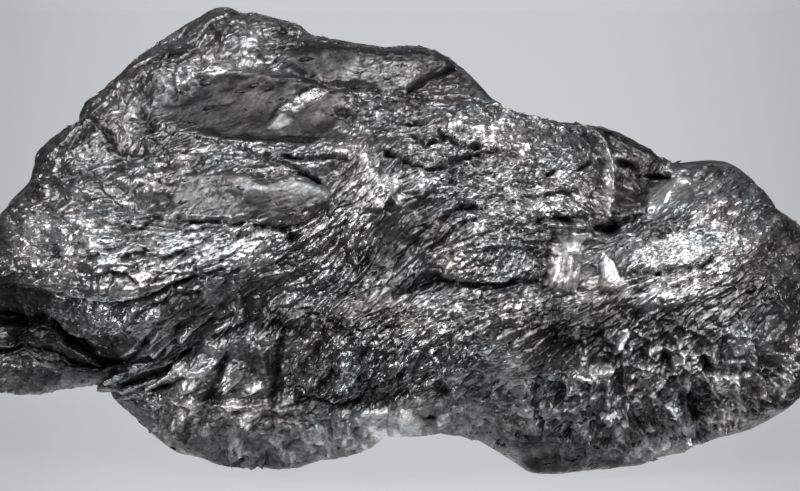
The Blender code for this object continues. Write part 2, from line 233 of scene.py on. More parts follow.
# Wide swellings and hollows: name: (x, y, half length, half width, turn, height).
SWELLINGS = {
    "brow": (205, 72, 46, 16, 32, 0.55),
    "crown_lump": (245, 42, 24, 14, 24, 0.35),
    "upper_slab": (258, 106, 96, 24, -3, -0.38),
    "cap": (446, 60, 22, 12, -12, 0.45),
    "lens_slab": (232, 190, 62, 20, 2, 0.45),
    "small_lens": (134, 216, 17, 9, 4, 0.3),
    "bright_lens": (163, 252, 17, 6, 6, 0.3),
    "dome_chip_1": (92, 262, 11, 6, 4, 0.22),
    "dome_chip_2": (116, 262, 10, 5, 0, 0.22),
    "dome_chip_3": (178, 262, 12, 5, 10, 0.2),
    "bright_ledge": (128, 318, 42, 9, 8, 0.55),
    "low_left_ledge": (90, 330, 24, 5, 2, 0.35),
    "basin": (386, 240, 18, 22, 10, -0.35),
    "basin_right": (426, 208, 26, 10, 14, -0.3),
    "lobe": (505, 168, 60, 34, 0, 0.4),
    "lobe_belly": (510, 250, 52, 14, 6, 0.4),
    "valley": (634, 180, 16, 28, -10, -0.45),
    "shoulder": (690, 256, 54, 26, 22, 0.4),
    "pale_patch": (512, 358, 14, 14, 0, 0.3),
    "pale_patch_2": (438, 376, 8, 12, 10, 0.3),
    "pale_ledge": (390, 424, 28, 12, 0, 0.4),
}

# Parts that lean back, so that they catch the light from above, or forwards, so that they don't: name: (x,
# y, half length, half width, turn, slope).
LEANS = {
    "left_dome": (120, 238, 150, 52, 5, 0.36),
    "upper_slab": (256, 102, 108, 32, -4, -0.40),
    "high_slab": (385, 66, 92, 20, 0, -0.46),
    "brow": (210, 70, 52, 20, 30, -0.16),
    "lobe": (505, 150, 90, 38, 0, -0.26),
    "shoulder": (690, 262, 84, 36, 20, 0.30),
    "lobe_low": (540, 206, 64, 22, 0, 0.40),
    "glint_ledge": (486, 264, 56, 15, 4, 0.55),
    "fluted_patch": (572, 262, 22, 26, 0, 0.20),
    "bright_ledge": (112, 316, 54, 12, 6, 0.60),
    "tall_plates": (196, 378, 34, 24, 20, 0.30),
    "low_right": (560, 452, 60, 30, 0, -0.30),
    "slab_glint": (306, 98, 34, 7, 22, 0.42),
    "highlight_ridge": (385, 188, 10, 24, -28, 0.22),
    "groove": (668, 200, 26, 12, 38, -0.40),
}

# Flat plates and facets: name: (corners clockwise, lift in millimetres, slope to the right, slope downwards,
# share of the tone). A plate that rises downwards faces up. The share of the tone is painted light and
# painted shade: plates that look lit are painted paler, sunk facets and blocks that look shaded darker.
PLATES = {
    "tan_plate": ([(180, 381), (194, 374), (203, 377), (198, 389), (186, 393)], 0.35, 0.1, 0.35, 1.35),
    "grey_plate": ([(190, 360), (208, 341), (228, 338), (226, 356),
                    (212, 371), (191, 371)], 0.40, -0.1, 0.30, 1.1),
    "bright_edge": ([(171, 366), (200, 366), (211, 371), (205, 376), (180, 378)], 0.35, 0.0, 0.70, 1.9),
    "pink_plate": ([(226, 366), (238, 356), (248, 364), (240, 381),
                    (228, 391), (220, 384)], 0.35, -0.2, 0.35, 1.3),
    "dark_panel": ([(246, 350), (268, 348), (270, 375), (250, 377)], 0.30, 0.2, -0.10, 0.5),
    "bright_chip": ([(242, 386), (262, 381), (265, 387), (252, 393)], 0.45, 0.0, 0.70, 2.1),
    "slot_panel": ([(283, 378), (294, 376), (296, 404), (281, 406)], 0.35, -0.1, 0.10, 1.0),
    "belly_1": ([(168, 410), (180, 406), (188, 420), (186, 430), (174, 426)], 0.30, 0.1, 0.30, 1.35),
    "belly_2": ([(184, 398), (195, 395), (203, 410), (192, 414)], 0.30, 0.0, 0.35, 1.3),
    "belly_3": ([(221, 403), (238, 397), (245, 406), (228, 413)], 0.30, 0.0, 0.40, 1.3),
    "belly_4": ([(237, 414), (256, 409), (261, 419), (249, 429), (240, 424)], 0.30, -0.1, 0.35, 1.3),
    "belly_5": ([(226, 440), (240, 437), (244, 452), (230, 460)], 0.25, 0.2, 0.20, 1.3),
    "belly_6": ([(248, 450), (264, 448), (266, 460), (250, 464)], 0.25, -0.2, 0.20, 1.2),
    "belly_7": ([(140, 400), (152, 397), (160, 410), (150, 416)], 0.25, 0.1, 0.20, 1.1),
    "belly_8": ([(156, 424), (168, 426), (172, 440), (160, 438)], 0.25, 0.2, 0.10, 1.1),
    "belly_9": ([(200, 420), (214, 414), (222, 426), (206, 434)], 0.25, -0.2, 0.25, 0.8),
    "belly_10": ([(272, 420), (288, 416), (294, 428), (276, 432)], 0.25, 0.0, 0.30, 1.2),
    "belly_11": ([(300, 430), (318, 424), (324, 438), (304, 444)], 0.25, 0.1, 0.25, 1.1),
    "belly_12": ([(330, 420), (350, 416), (352, 430), (334, 434)], 0.25, -0.1, 0.30, 1.2),
    "upright": ([(236, 302), (241, 302), (245, 322), (232, 328)], 0.50, 0.3, 0.30, 1.5),
    "upright_arm": ([(213, 329), (232, 319), (236, 325), (218, 333)], 0.45, 0.0, 0.60, 1.7),
    "upright_2": ([(262, 322), (271, 315), (274, 318), (265, 331)], 0.40, 0.2, 0.40, 1.6),
    "upright_3": ([(274, 331), (280, 329), (284, 338), (276, 340)], 0.35, 0.2, 0.40, 1.4),
    "rib_plate_1": ([(291, 356), (299, 350), (301, 366), (292, 374)], 0.35, -0.3, 0.20, 1.2),
    "rib_plate_2": ([(308, 376), (320, 372), (318, 388), (306, 392)], 0.35, -0.2, 0.30, 1.3),
    "rib_plate_3": ([(330, 378), (344, 374), (350, 388), (338, 394)], 0.35, -0.1, 0.50, 1.6),
    "facet_1": ([(628, 398), (652, 392), (664, 404), (664, 430),
                 (650, 438), (634, 420)], -0.15, 0.08, -0.15, 0.5),
    "facet_2": ([(690, 388), (706, 384), (716, 396), (712, 414),
                 (698, 424), (690, 408)], -0.15, 0.1, -0.15, 0.45),
    "facet_3": ([(580, 380), (606, 378), (606, 392), (582, 394)], -0.12, 0.0, -0.2, 0.55),
    "facet_4": ([(540, 378), (564, 374), (566, 390), (544, 394)], -0.12, 0.0, -0.2, 0.6),
    "facet_5": ([(758, 356), (772, 352), (780, 372), (766, 384)], -0.12, 0.1, -0.15, 0.55),
    "facet_6": ([(752, 406), (776, 400), (780, 408), (758, 416)], -0.15, 0.0, -0.2, 0.5),
    "chip": ([(611, 352), (618, 340), (630, 331), (630, 338), (618, 352)], 0.50, -0.3, 0.50, 1.8),
    "low_1": ([(600, 440), (622, 432), (634, 446), (612, 456)], 0.20, 0.0, 0.25, 1.15),
    "low_2": ([(650, 446), (676, 438), (684, 446), (660, 456)], 0.20, 0.0, 0.30, 1.2),
    "low_3": ([(556, 452), (590, 450), (590, 464), (560, 468)], 0.15, 0.0, 0.25, 1.2),
    "right_1": ([(722, 408), (746, 404), (740, 420), (724, 428)], 0.20, 0.1, 0.25, 1.1),
    "right_2": ([(728, 340), (748, 334), (752, 350), (734, 356)], 0.25, 0.1, 0.30, 1.3),
    "sliver_a": ([(104, 379), (150, 355), (152, 359), (108, 385)], 0.35, 0.0, 0.5, 1.7),
    "sliver_b": ([(128, 372), (176, 343), (179, 347), (132, 377)], 0.35, 0.0, 0.5, 1.7),
    "sliver_c": ([(150, 350), (196, 326), (198, 330), (154, 356)], 0.35, 0.0, 0.5, 1.6),
    "sliver_d": ([(176, 336), (214, 316), (216, 320), (180, 341)], 0.35, 0.0, 0.5, 1.8),
    "sliver_e": ([(118, 391), (160, 371), (162, 376), (122, 396)], 0.35, 0.0, 0.5, 1.6),
    "sliver_f": ([(142, 388), (176, 366), (178, 370), (146, 393)], 0.35, 0.0, 0.5, 1.6),
    "sliver_g": ([(96, 370), (130, 357), (132, 360), (98, 374)], 0.30, 0.0, 0.5, 1.4),
    # A painted highlight: the chip's tone is raised far, so that it looks white.
    "highlight_chip": ([(601, 260), (609, 257), (615, 266), (624, 270), (625, 281),
                    (615, 287), (606, 278), (599, 268)], 0.45, -0.05, -0.80, 2.6),
    "block_1": ([(574, 400), (592, 396), (600, 412), (584, 422)], -0.1, 0.1, -0.2, 0.68),
    "block_2": ([(612, 384), (626, 378), (630, 392), (616, 400)], -0.1, -0.1, -0.2, 0.63),
    "block_3": ([(668, 360), (680, 366), (676, 380), (662, 376)], -0.1, 0.1, -0.2, 0.53),
    "block_4": ([(700, 354), (712, 358), (714, 374), (702, 372)], -0.1, 0.1, -0.2, 0.48),
    "block_5": ([(728, 356), (746, 352), (750, 374), (732, 378)], -0.1, 0.1, -0.2, 0.68),
    "block_6": ([(632, 346), (646, 340), (652, 356), (638, 362)], -0.1, 0.1, -0.2, 0.68),
    "block_7": ([(718, 390), (738, 394), (736, 404), (720, 402)], -0.1, 0.0, -0.2, 0.68),
    "block_8": ([(550, 412), (572, 412), (578, 430), (552, 432)], -0.1, 0.0, -0.2, 0.68),
    "right_3": ([(640, 366), (654, 362), (658, 374), (644, 380)], 0.20, 0.0, 0.25, 1.2),
    "flute_a": ([(558, 252), (563, 252), (555, 288), (549, 288)], 0.20, 0.1, 0.05, 1.7),
    "flute_b": ([(564, 252), (568, 253), (561, 289), (557, 289)], 0.12, -0.1, 0.05, 1.3),
    "flute_c": ([(570, 255), (575, 257), (568, 290), (563, 290)], 0.20, 0.1, 0.05, 1.7),
    "flute_d": ([(577, 262), (582, 264), (577, 292), (571, 292)], 0.15, 0.1, 0.05, 1.4),
    "flute_top": ([(570, 233), (583, 229), (584, 240), (577, 255), (570, 252)], 0.30, 0.0, 0.10, 1.5),
}

# The surface's character where nothing below changes it. The first seven are shares of the relief's
# patterns: broad folds, overlapping sheets, scales, granules, ribs, angular blocks and fine streaks. streak
# is also how much of the material's finest detail is streaks and not grit. grain is how densely flakes and
# glints lie, tone a share of the colour, and rough the roughness.
PLAIN = {"form": 1.0, "sheet": 0.7, "scale": 0.7, "small": 0.3, "rib": 0.35, "block": 0.0, "streak": 0.6,
         "grain": 0.3, "tone": 1.0, "rough": 0.33}

# Where it changes: name: ((x, y, half length, half width, turn), the values there). Their tones are painted
# light and painted shade, paler where a place looks lit and darker where it looks shaded.
REGIONS = {
    "upper_slab": ((256, 104, 104, 30, -4), {"form": 0.05, "sheet": 0.06, "scale": 0.06, "small": 0.08,
        "rib": 0.0, "streak": 0.6, "grain": 0.2, "tone": 0.38, "rough": 0.48}),
    "slab_low": ((290, 150, 66, 20, 6), {"form": 0.25, "sheet": 0.25, "scale": 0.3, "small": 0.5,
        "rib": 0.05, "streak": 0.45, "grain": 0.3, "rough": 0.32}),
    "above_lens": ((175, 168, 60, 18, 2), {"form": 0.4, "sheet": 0.3, "scale": 0.3, "small": 0.6,
        "rib": 0.1, "grain": 0.3, "streak": 0.4}),
    "high_slab": ((385, 64, 92, 18, 0), {"form": 0.1, "sheet": 0.25, "scale": 0.1, "small": 0.25,
        "rib": 0.2, "grain": 0.1, "tone": 0.52, "rough": 0.34, "streak": 0.5}),
    "granular_slab": ((385, 108, 46, 22, 4), {"sheet": 0.3, "scale": 0.4, "small": 1.0, "grain": 1.0,
        "streak": 0.1}),
    "brow": ((208, 68, 48, 15, 30), {"sheet": 0.1, "scale": 0.5, "small": 1.0, "rib": 0.1, "grain": 0.0,
        "tone": 1.48, "rough": 0.4, "streak": 0.05}),
    "crown": ((250, 48, 30, 16, 20), {"sheet": 0.1, "scale": 0.4, "small": 0.9, "rib": 0.1, "grain": 0.05,
        "tone": 1.18, "rough": 0.4, "streak": 0.05}),
    "high_left": ((318, 58, 34, 16, 0), {"form": 0.1, "sheet": 0.0, "scale": 0.0, "small": 0.05,
        "rib": 0.1, "grain": 0.1, "tone": 0.4, "rough": 0.5, "streak": 0.3}),
    "slab_glint": ((305, 98, 30, 5, 22), {"small": 0.5, "grain": 0.6, "rough": 0.28, "streak": 0.2}),
    "ledge": ((104, 318, 54, 14, 5), {"form": 0.3, "sheet": 0.2, "scale": 0.6, "small": 1.1, "rib": 0.1,
        "grain": 0.6, "rough": 0.30, "streak": 0.1}),
    "left_slope": ((130, 115, 40, 20, 50), {"sheet": 0.2, "scale": 0.4, "small": 0.9, "rib": 0.1,
        "grain": 0.2, "rough": 0.42, "streak": 0.1}),
    "slope_pit": ((148, 122, 8, 12, 0), {"small": 0.2, "grain": 0.1, "tone": 0.5, "streak": 0.1}),
    "lens_slab": ((214, 196, 48, 22, 2), {"form": 0.1, "sheet": 0.15, "scale": 0.1, "small": 0.25,
        "rib": 0.05, "streak": 0.35, "grain": 0.15, "tone": 1.05, "rough": 0.44}),
    "lens_slab_2": ((290, 198, 36, 22, 5), {"form": 0.1, "sheet": 0.15, "scale": 0.05, "small": 0.12,
        "rib": 0.05, "streak": 0.4, "grain": 0.1, "tone": 0.95, "rough": 0.46}),
    "small_lens": ((134, 217, 17, 9, 4), {"sheet": 0.2, "scale": 0.1, "small": 0.3, "streak": 0.6}),
    "left_dome": ((110, 256, 136, 50, 6), {"sheet": 0.9, "scale": 1.1, "small": 0.7, "grain": 0.22,
        "tone": 1.5, "rough": 0.31, "streak": 0.35}),
    "basin": ((402, 238, 36, 26, 10), {"sheet": 0.3, "scale": 0.2, "small": 0.2, "rib": 0.3,
        "streak": 0.6, "grain": 0.1, "tone": 0.62}),
    "basin_right": ((428, 208, 24, 10, 14), {"sheet": 0.2, "scale": 0.2, "small": 0.2, "grain": 0.0,
        "tone": 0.6, "streak": 0.5}),
    "swirl": ((325, 258, 48, 52, 0), {"sheet": 0.9, "scale": 0.5, "small": 0.3, "rib": 1.0, "grain": 0.7,
        "tone": 1.05, "rough": 0.27, "streak": 0.6}),
    "lobe": ((512, 160, 94, 46, 0), {"sheet": 0.3, "scale": 0.5, "small": 1.1, "grain": 0.45, "tone": 1.4,
        "rough": 0.28, "streak": 0.1}),
    "lobe_low": ((530, 210, 76, 26, 4), {"scale": 0.6, "small": 1.0, "grain": 0.6, "tone": 1.5,
        "rough": 0.29, "streak": 0.15}),
    "glint_ledge": ((500, 260, 60, 20, 4), {"scale": 0.6, "small": 1.0, "grain": 0.9, "tone": 1.3,
        "rough": 0.29, "streak": 0.1}),
    "rim": ((608, 180, 9, 40, 0), {"sheet": 0.2, "scale": 0.2, "small": 0.3, "grain": 0.2, "tone": 1.2,
        "streak": 0.2}),
    "valley": ((636, 172, 24, 44, -12), {"form": 0.1, "sheet": 0.05, "scale": 0.3, "small": 0.7,
        "rib": 0.0, "grain": 0.3, "tone": 0.55, "streak": 0.2}),
    "back_slope": ((622, 140, 46, 16, -20), {"form": 0.1, "sheet": 0.05, "scale": 0.3, "rib": 0.0,
        "small": 0.5, "grain": 0.2, "tone": 0.45, "streak": 0.3}),
    "shoulder": ((700, 248, 72, 36, 24), {"sheet": 0.4, "scale": 0.6, "small": 0.9, "grain": 0.4,
        "tone": 1.6, "rough": 0.29, "streak": 0.25}),
    "shoulder_patch": ((678, 262, 32, 14, 10), {"scale": 0.5, "small": 0.9, "grain": 0.25, "tone": 1.9,
        "streak": 0.15}),
    "groove": ((668, 200, 30, 15, 38), {"sheet": 0.1, "scale": 0.1, "small": 0.3, "rib": 0.4,
        "grain": 0.0, "tone": 1.8, "streak": 1.0}),
    # A painted highlight: the spot's tone is raised.
    "highlight_spot": ((611, 273, 9, 15, -20), {"form": 0.2, "sheet": 0.1, "scale": 0.1, "small": 0.3,
        "grain": 0.0, "tone": 1.4, "streak": 0.3}),
    # A painted highlight: the ridge's tone is raised far, on top of its lean towards the light.
    "highlight_ridge": ((385, 188, 8, 20, -28), {"scale": 0.3, "small": 0.6, "grain": 0.4, "tone": 3.0,
        "rough": 0.3, "streak": 0.1}),
    "fluted_patch": ((566, 264, 16, 28, -14), {"form": 0.05, "sheet": 0.0, "scale": 0.1, "small": 0.3,
        "rib": 0.0, "grain": 0.1, "tone": 1.45, "rough": 0.40, "streak": 0.5}),
    "glint_band": ((480, 312, 94, 18, 4), {"scale": 0.5, "small": 0.8, "rib": 0.7, "grain": 0.9,
        "tone": 1.2, "streak": 0.4}),
    "dark_zone": ((620, 335, 76, 22, 6), {"form": 0.8, "scale": 0.6, "small": 0.6, "block": 0.4,
        "tone": 0.5, "streak": 0.3}),
    "ribs": ((380, 358, 100, 44, 6), {"sheet": 0.4, "scale": 0.9, "small": 0.5, "rib": 0.9, "grain": 0.9,
        "rough": 0.25, "streak": 0.5}),
    "fan": ((155, 352, 72, 24, 32), {"form": 0.3, "sheet": 0.3, "scale": 0.1, "small": 0.1, "rib": 1.1,
        "grain": 0.4, "tone": 0.75, "rough": 0.30, "streak": 1.0}),
    "crease": ((46, 350, 66, 22, -10), {"sheet": 0.3, "scale": 0.4, "rib": 0.8, "grain": 0.2, "tone": 0.4,
        "streak": 0.5}),
    "far_ledge": ((46, 388, 64, 11, -2), {"sheet": 0.2, "scale": 0.3, "block": 0.4, "grain": 0.1,
        "tone": 1.2, "rough": 0.5, "streak": 0.2}),
    "plates": ((232, 370, 62, 32, 20), {"form": 0.1, "sheet": 0.05, "scale": 0.2, "small": 0.3,
        "rib": 0.1, "block": 0.3, "grain": 0.3, "tone": 1.15, "rough": 0.36, "streak": 0.2}),
    "belly": ((250, 438, 140, 34, 3), {"form": 0.4, "sheet": 0.1, "scale": 0.6, "small": 0.9, "rib": 0.05,
        "block": 0.35, "grain": 0.2, "tone": 1.1, "rough": 0.45, "streak": 0.1}),
    "notch": ((425, 420, 60, 22, 0), {"sheet": 0.2, "scale": 0.4, "small": 0.5, "rib": 0.1, "block": 0.3,
        "grain": 0.1, "tone": 1.15, "rough": 0.5, "streak": 0.2}),
    "blocks": ((672, 400, 142, 66, 6), {"form": 0.12, "sheet": 0.05, "scale": 0.3, "small": 0.9,
        "rib": 0.05, "block": 0.9, "grain": 0.2, "tone": 1.4, "rough": 0.36, "streak": 0.1}),
    "right_end": ((792, 262, 24, 56, 0), {"scale": 0.5, "block": 0.3, "tone": 0.65, "streak": 0.2}),
}

# Painted light and painted shade: patches that make places look lit or shaded, with painted highlights and
# glints among them, and shade painted into holes, cracks and hollows. name: (x, y, half length, half width,
# turn, share of the tone).
PAINTED_LIGHT_AND_SHADE_PATCHES = {
    "left_pale_1": (46, 240, 46, 30, 0, 2.5), "left_pale_2": (98, 258, 34, 18, 6, 1.2),
    "left_pale_3": (62, 200, 34, 14, 20, 1.55), "lobe_top": (520, 134, 44, 16, -8, 1.22),
    "slab_top": (330, 84, 40, 10, 0, 0.75), "slab_mid": (222, 112, 44, 14, 0, 0.75),
    "swirl_shade": (388, 262, 26, 12, 20, 0.75), "ledge_shade": (540, 262, 14, 30, 0, 0.62),
    "edge_right": (742, 236, 24, 22, 20, 2.0), "dome_foot": (142, 346, 26, 13, 20, 3.0),
    "fan_dark": (296, 322, 48, 13, 0, 0.42), "zone_deep": (584, 322, 50, 20, 6, 0.55),
    "low_mid_dark": (382, 388, 26, 18, 0, 0.5), "low_mid_dark_2": (318, 404, 40, 14, 5, 0.6),
    "low_left_dark": (78, 372, 34, 10, -10, 0.5), "rim_right": (566, 446, 54, 18, 0, 0.52),
    "foot_right": (570, 470, 66, 10, 2, 0.34), "foot_left": (250, 462, 60, 10, 0, 0.62),
    "right_low": (752, 356, 26, 32, 0, 1.7), "right_low_2": (720, 392, 30, 20, 0, 1.15),
    "brow_1": (200, 72, 22, 9, 15, 1.25), "brow_2": (178, 78, 18, 9, 30, 1.15),
    "crown_1": (240, 52, 22, 12, 35, 1.3), "crown_2": (268, 35, 16, 8, 20, 1.0),
    "crown_3": (286, 51, 8, 6, 0, 1.5), "crown_4": (265, 63, 12, 6, 0, 1.2),
    "crown_dark": (285, 30, 14, 10, 0, 0.6), "pit_dark": (172, 55, 12, 7, -30, 0.6),
    "brow_dark": (190, 95, 28, 6, -4, 0.5), "slope_1": (130, 128, 24, 14, -20, 1.15),
    "slope_dark_1": (110, 140, 14, 5, -45, 0.6), "slope_dark_2": (118, 162, 10, 8, -40, 0.55),
    "slope_2": (92, 152, 22, 8, -25, 1.25), "slope_3": (145, 164, 14, 7, 10, 1.45),
    "above_lens_1": (195, 150, 20, 5, -10, 1.2), "above_lens_2": (255, 155, 26, 6, 10, 1.2),
    "above_lens_3": (230, 145, 20, 4, 8, 1.25), "slab_dark": (262, 128, 70, 7, 2, 0.75),
    "slab_glint": (305, 98, 28, 4.2, 22, 8.0), "slab_glint_2": (279, 116, 12, 3, 15, 4.5),
    "slab_shade": (298, 80, 22, 9, 0, 0.7), "high_shade": (322, 50, 60, 11, 0, 0.5),
    "high_grains": (315, 75, 8, 7, 0, 1.25), "lobe_1": (392, 98, 26, 10, 0, 1.15),
    "lobe_2": (430, 122, 22, 7, 0, 1.25), "lobe_hole": (411, 120, 9, 5, -20, 0.35),
    "lobe_3": (380, 117, 7, 4, 0, 1.4), "lobe_shade": (425, 95, 34, 10, 0, 0.75),
    "lobe_4": (500, 138, 26, 13, -5, 2.0), "lobe_5": (510, 175, 22, 7, 0, 1.12),
    "lobe_6": (545, 160, 22, 16, 0, 1.2), "lobe_7": (545, 198, 16, 14, 0, 1.1),
    "ridge_1": (368, 160, 8, 18, -8, 1.25), "ridge_shade": (395, 160, 18, 8, -10, 0.8),
    "slab_low_1": (325, 130, 22, 6, 10, 1.2), "slab_low_2": (330, 143, 24, 5, 5, 1.25),
    "slab_low_dark": (320, 160, 40, 3, 0, 0.6), "left_1": (72, 185, 10, 6, 0, 1.3),
    "lens_top": (133, 212, 15, 5, 5, 1.3), "dome_1": (162, 250, 14, 4, 5, 1.4),
    "dome_2": (92, 262, 9, 5, 0, 1.3), "dome_3": (116, 259, 10, 5, 0, 1.3),
    "dome_4": (202, 252, 14, 7, 10, 1.2), "dome_hole": (52, 254, 8, 8, 0, 0.5),
    "dome_5": (70, 284, 36, 14, 5, 1.7), "band_dark": (215, 300, 60, 10, 14, 1.0),
    "ledge_1": (122, 318, 42, 11, 6, 2.0), "far_dark": (30, 308, 32, 16, 0, 0.6),
    "crease_dark": (40, 338, 52, 8, -12, 0.45), "crease_1": (34, 340, 7, 3, 0, 1.8),
    "crease_2": (95, 342, 8, 4, -10, 1.6), "wedge_1": (457, 213, 20, 5, 18, 0.6),
    "wedge_2": (450, 235, 24, 6, 25, 0.65), "chip_1": (473, 200, 7, 3, 0, 1.5),
    "chip_2": (490, 210, 9, 3, -10, 1.5), "chip_3": (512, 185, 14, 5, 0, 1.3),
    "ledge_2": (510, 258, 22, 18, 0, 1.25), "streaks_1": (387, 278, 20, 10, 20, 0.95),
    "overhang_1": (425, 281, 26, 8, 8, 0.5), "overhang_2": (500, 285, 30, 7, 0, 0.5),
    "swirl_dark": (355, 290, 18, 10, 0, 0.6), "low_dark_1": (305, 315, 36, 14, 0, 0.7),
    "groove_1": (665, 194, 24, 6, 35, 2.4), "groove_2": (690, 184, 10, 5, 35, 1.3),
    "rim_hole": (607, 226, 11, 6, 0, 0.35), "rim_wedge": (625, 218, 20, 4, 15, 0.5),
    "lobe_under": (565, 222, 34, 8, 0, 0.55), "shoulder_1": (672, 255, 36, 18, 20, 2.0),
    "shoulder_2": (730, 235, 16, 13, 25, 1.25), "shoulder_3": (766, 230, 7, 4, 0, 1.5),
    "shoulder_4": (680, 296, 56, 10, 0, 1.2), "right_dark": (788, 264, 14, 36, 0, 1.6),
    "zone_dark": (582, 335, 38, 18, 4, 0.7), "chip_4": (620, 342, 9, 9, 40, 1.1),
    "pit_1": (665, 358, 7, 8, 0, 0.6), "pit_2": (706, 360, 8, 10, 0, 0.6),
    "pit_3": (686, 346, 5, 6, 0, 0.6), "facet_1": (557, 384, 14, 9, 0, 0.85),
    "facet_2": (594, 385, 16, 8, 0, 0.85), "facet_3": (652, 416, 14, 20, 10, 1.4),
    "facet_4": (700, 402, 12, 20, 15, 1.15), "facet_5": (767, 368, 12, 14, 0, 0.85),
    "facet_6": (766, 407, 12, 6, 10, 0.7), "pale_1": (575, 378, 7, 18, -20, 1.35),
    "pale_2": (650, 387, 12, 8, 0, 1.2), "pale_3": (740, 392, 32, 8, 8, 1.15),
    "pale_4": (783, 380, 8, 22, -25, 1.3), "right_band": (765, 325, 9, 40, 0, 1.2),
    "bottom_rim": (645, 458, 56, 12, 8, 1.15), "pale_5": (535, 388, 6, 12, 0, 1.3),
    "pale_6": (545, 406, 16, 5, 0, 1.2), "green_dark": (556, 436, 32, 14, 5, 0.65),
    "belly_dark": (505, 425, 24, 40, 0, 0.95), "pale_7": (512, 360, 11, 14, 0, 1.6),
    # The hole at 441, 390 is painted darker: painted shade.
    "pale_8": (438, 378, 9, 12, 10, 1.4), "shaded_hole": (441, 390, 5, 6, 0, 0.4),
    "ledge_3": (390, 418, 32, 15, 0, 2.6), "slot_dark": (277, 372, 7, 36, -8, 0.4),
    "low_dark_2": (316, 330, 44, 10, 10, 0.75), "plate_light": (192, 370, 20, 6, -10, 2.0),
    "plate_dark": (212, 396, 10, 12, 30, 0.35), "chip_5": (254, 386, 11, 5, 5, 1.7),
    "belly_tan": (176, 414, 11, 14, -20, 1.5), "basin_shade": (380, 268, 24, 12, 20, 0.75),
    "lobe_right": (578, 184, 26, 38, 0, 1.4), "lobe_left": (462, 136, 20, 12, 0, 1.4),
    "slab_right": (348, 114, 36, 16, 0, 1.7), "slab_right_2": (345, 142, 16, 10, 0, 1.4),
    "dome_low": (82, 314, 36, 14, 0, 3.0), "streak_pale": (238, 262, 36, 16, 20, 1.75),
    "mid_dark": (378, 332, 30, 28, 0, 0.66), "lens_pale": (262, 202, 24, 12, 0, 1.05),
    "lens_shade": (262, 172, 22, 9, 0, 0.75), "valley_dark": (660, 168, 20, 12, 0, 0.7),
    "ridge_pale": (700, 200, 30, 18, 20, 1.4), "fluted_top": (574, 242, 10, 14, 0, 1.9),
    "spot_below": (605, 291, 26, 8, 0, 1.35), "zone_left": (545, 318, 26, 14, 0, 0.58),
    "zone_right": (700, 332, 40, 18, 0, 0.75), "mid_right_low": (580, 384, 22, 18, 0, 1.25),
    "ledge_4": (460, 418, 26, 12, 0, 1.4), "ledge_5": (380, 438, 18, 10, 0, 2.0),
    "belly_left": (142, 406, 22, 10, -20, 1.35), "crown_light": (262, 48, 10, 8, 0, 0.85),
    "slab_edge_light": (300, 112, 26, 8, 5, 1.0), "rim_1": (590, 134, 20, 4, -30, 1.6),
    "rim_2": (608, 166, 5, 26, 0, 1.8), "rim_3": (609, 200, 5, 16, 0, 1.6),
    "lobe_low_pale": (545, 200, 40, 18, 0, 1.2), "above_dome": (120, 186, 50, 18, 10, 1.25),
    "above_dome_2": (186, 170, 30, 14, 0, 1.1), "dome_6": (190, 240, 50, 20, 8, 1.2),
    "band_pale": (225, 292, 24, 10, 20, 1.9), "plates_tan": (182, 378, 16, 12, 0, 1.3),
    "far_ledge_dark": (62, 380, 34, 10, 0, 0.75), "swirl_low": (388, 298, 30, 16, 10, 0.8),
    "dome_top_shade": (100, 230, 20, 10, 0, 0.8), "slope_shade": (60, 140, 24, 16, 40, 0.75),
    "slope_shade_2": (100, 140, 18, 14, 40, 0.8), "ridge_hot": (385, 200, 13, 12, 0, 0.48),
    "groove_shade": (650, 178, 18, 10, 30, 0.6), "upper_groove_shade": (664, 230, 30, 12, 20, 0.36),
    "ridge_left_pale": (470, 176, 26, 12, 0, 0.75), "swirl_mid": (380, 258, 26, 13, 0, 0.42),
    "overhang_shade": (425, 284, 32, 12, 0, 0.7), "zone_low": (560, 340, 40, 14, 0, 0.85),
    "block_shade": (632, 350, 44, 14, 0, 0.56), "right_band_2": (748, 322, 22, 12, 20, 0.75),
    "rim_foot": (510, 440, 24, 10, -30, 0.7), "pit_mid": (660, 410, 24, 16, 0, 1.0),
    "belly_foot": (255, 468, 60, 9, 0, 0.5), "low_300": (302, 410, 30, 10, 0, 0.6),
    "swirl_left": (300, 262, 20, 22, 20, 0.85), "streak_pale_2": (262, 252, 26, 18, 20, 1.6),
    "left_ledge_pale": (90, 292, 50, 12, 0, 2.2), "streak_340": (340, 228, 24, 14, 30, 1.3),
    "crown_top": (225, 24, 22, 12, 30, 0.75), "lobe_mid": (515, 170, 30, 12, 0, 0.8),
    "swirl_pale_2": (420, 290, 24, 10, 20, 0.75), "zone_540": (545, 318, 26, 16, 0, 0.8),
    "upper_right_shade": (742, 296, 24, 16, 10, 0.52), "left_120": (66, 258, 24, 14, 0, 1.1),
    "bottom_blocks": (545, 440, 46, 14, 0, 0.7), "basin_deep": (420, 230, 22, 14, 10, 0.5),
    "glint_left": (458, 258, 20, 12, 0, 2.0), "lens_right_shade": (300, 200, 22, 15, 0, 0.62),
    "ledge_right": (140, 316, 22, 10, 8, 1.35), "slab_right_low": (322, 114, 22, 9, 10, 0.72),
    "slab_middle": (262, 96, 28, 18, 0, 0.82), "pale_9": (498, 350, 18, 16, 0, 1.7),
    "pale_10": (538, 382, 18, 14, 0, 2.2), "pale_11": (702, 382, 18, 14, 0, 2.2),
    "pale_12": (560, 408, 32, 12, 0, 1.25), "low_ledge_pale": (300, 380, 16, 14, 0, 1.35),
    "ledge_6": (345, 440, 22, 12, 0, 1.45), "edge_right_low": (744, 262, 20, 14, 0, 0.78),
    "belly_gap_shade": (262, 408, 16, 8, 0, 0.72), "rim_low": (540, 458, 26, 22, 0, 0.72),
    "plate_pale": (220, 350, 14, 9, 30, 1.25), "brow_3": (222, 82, 14, 8, 20, 1.25),
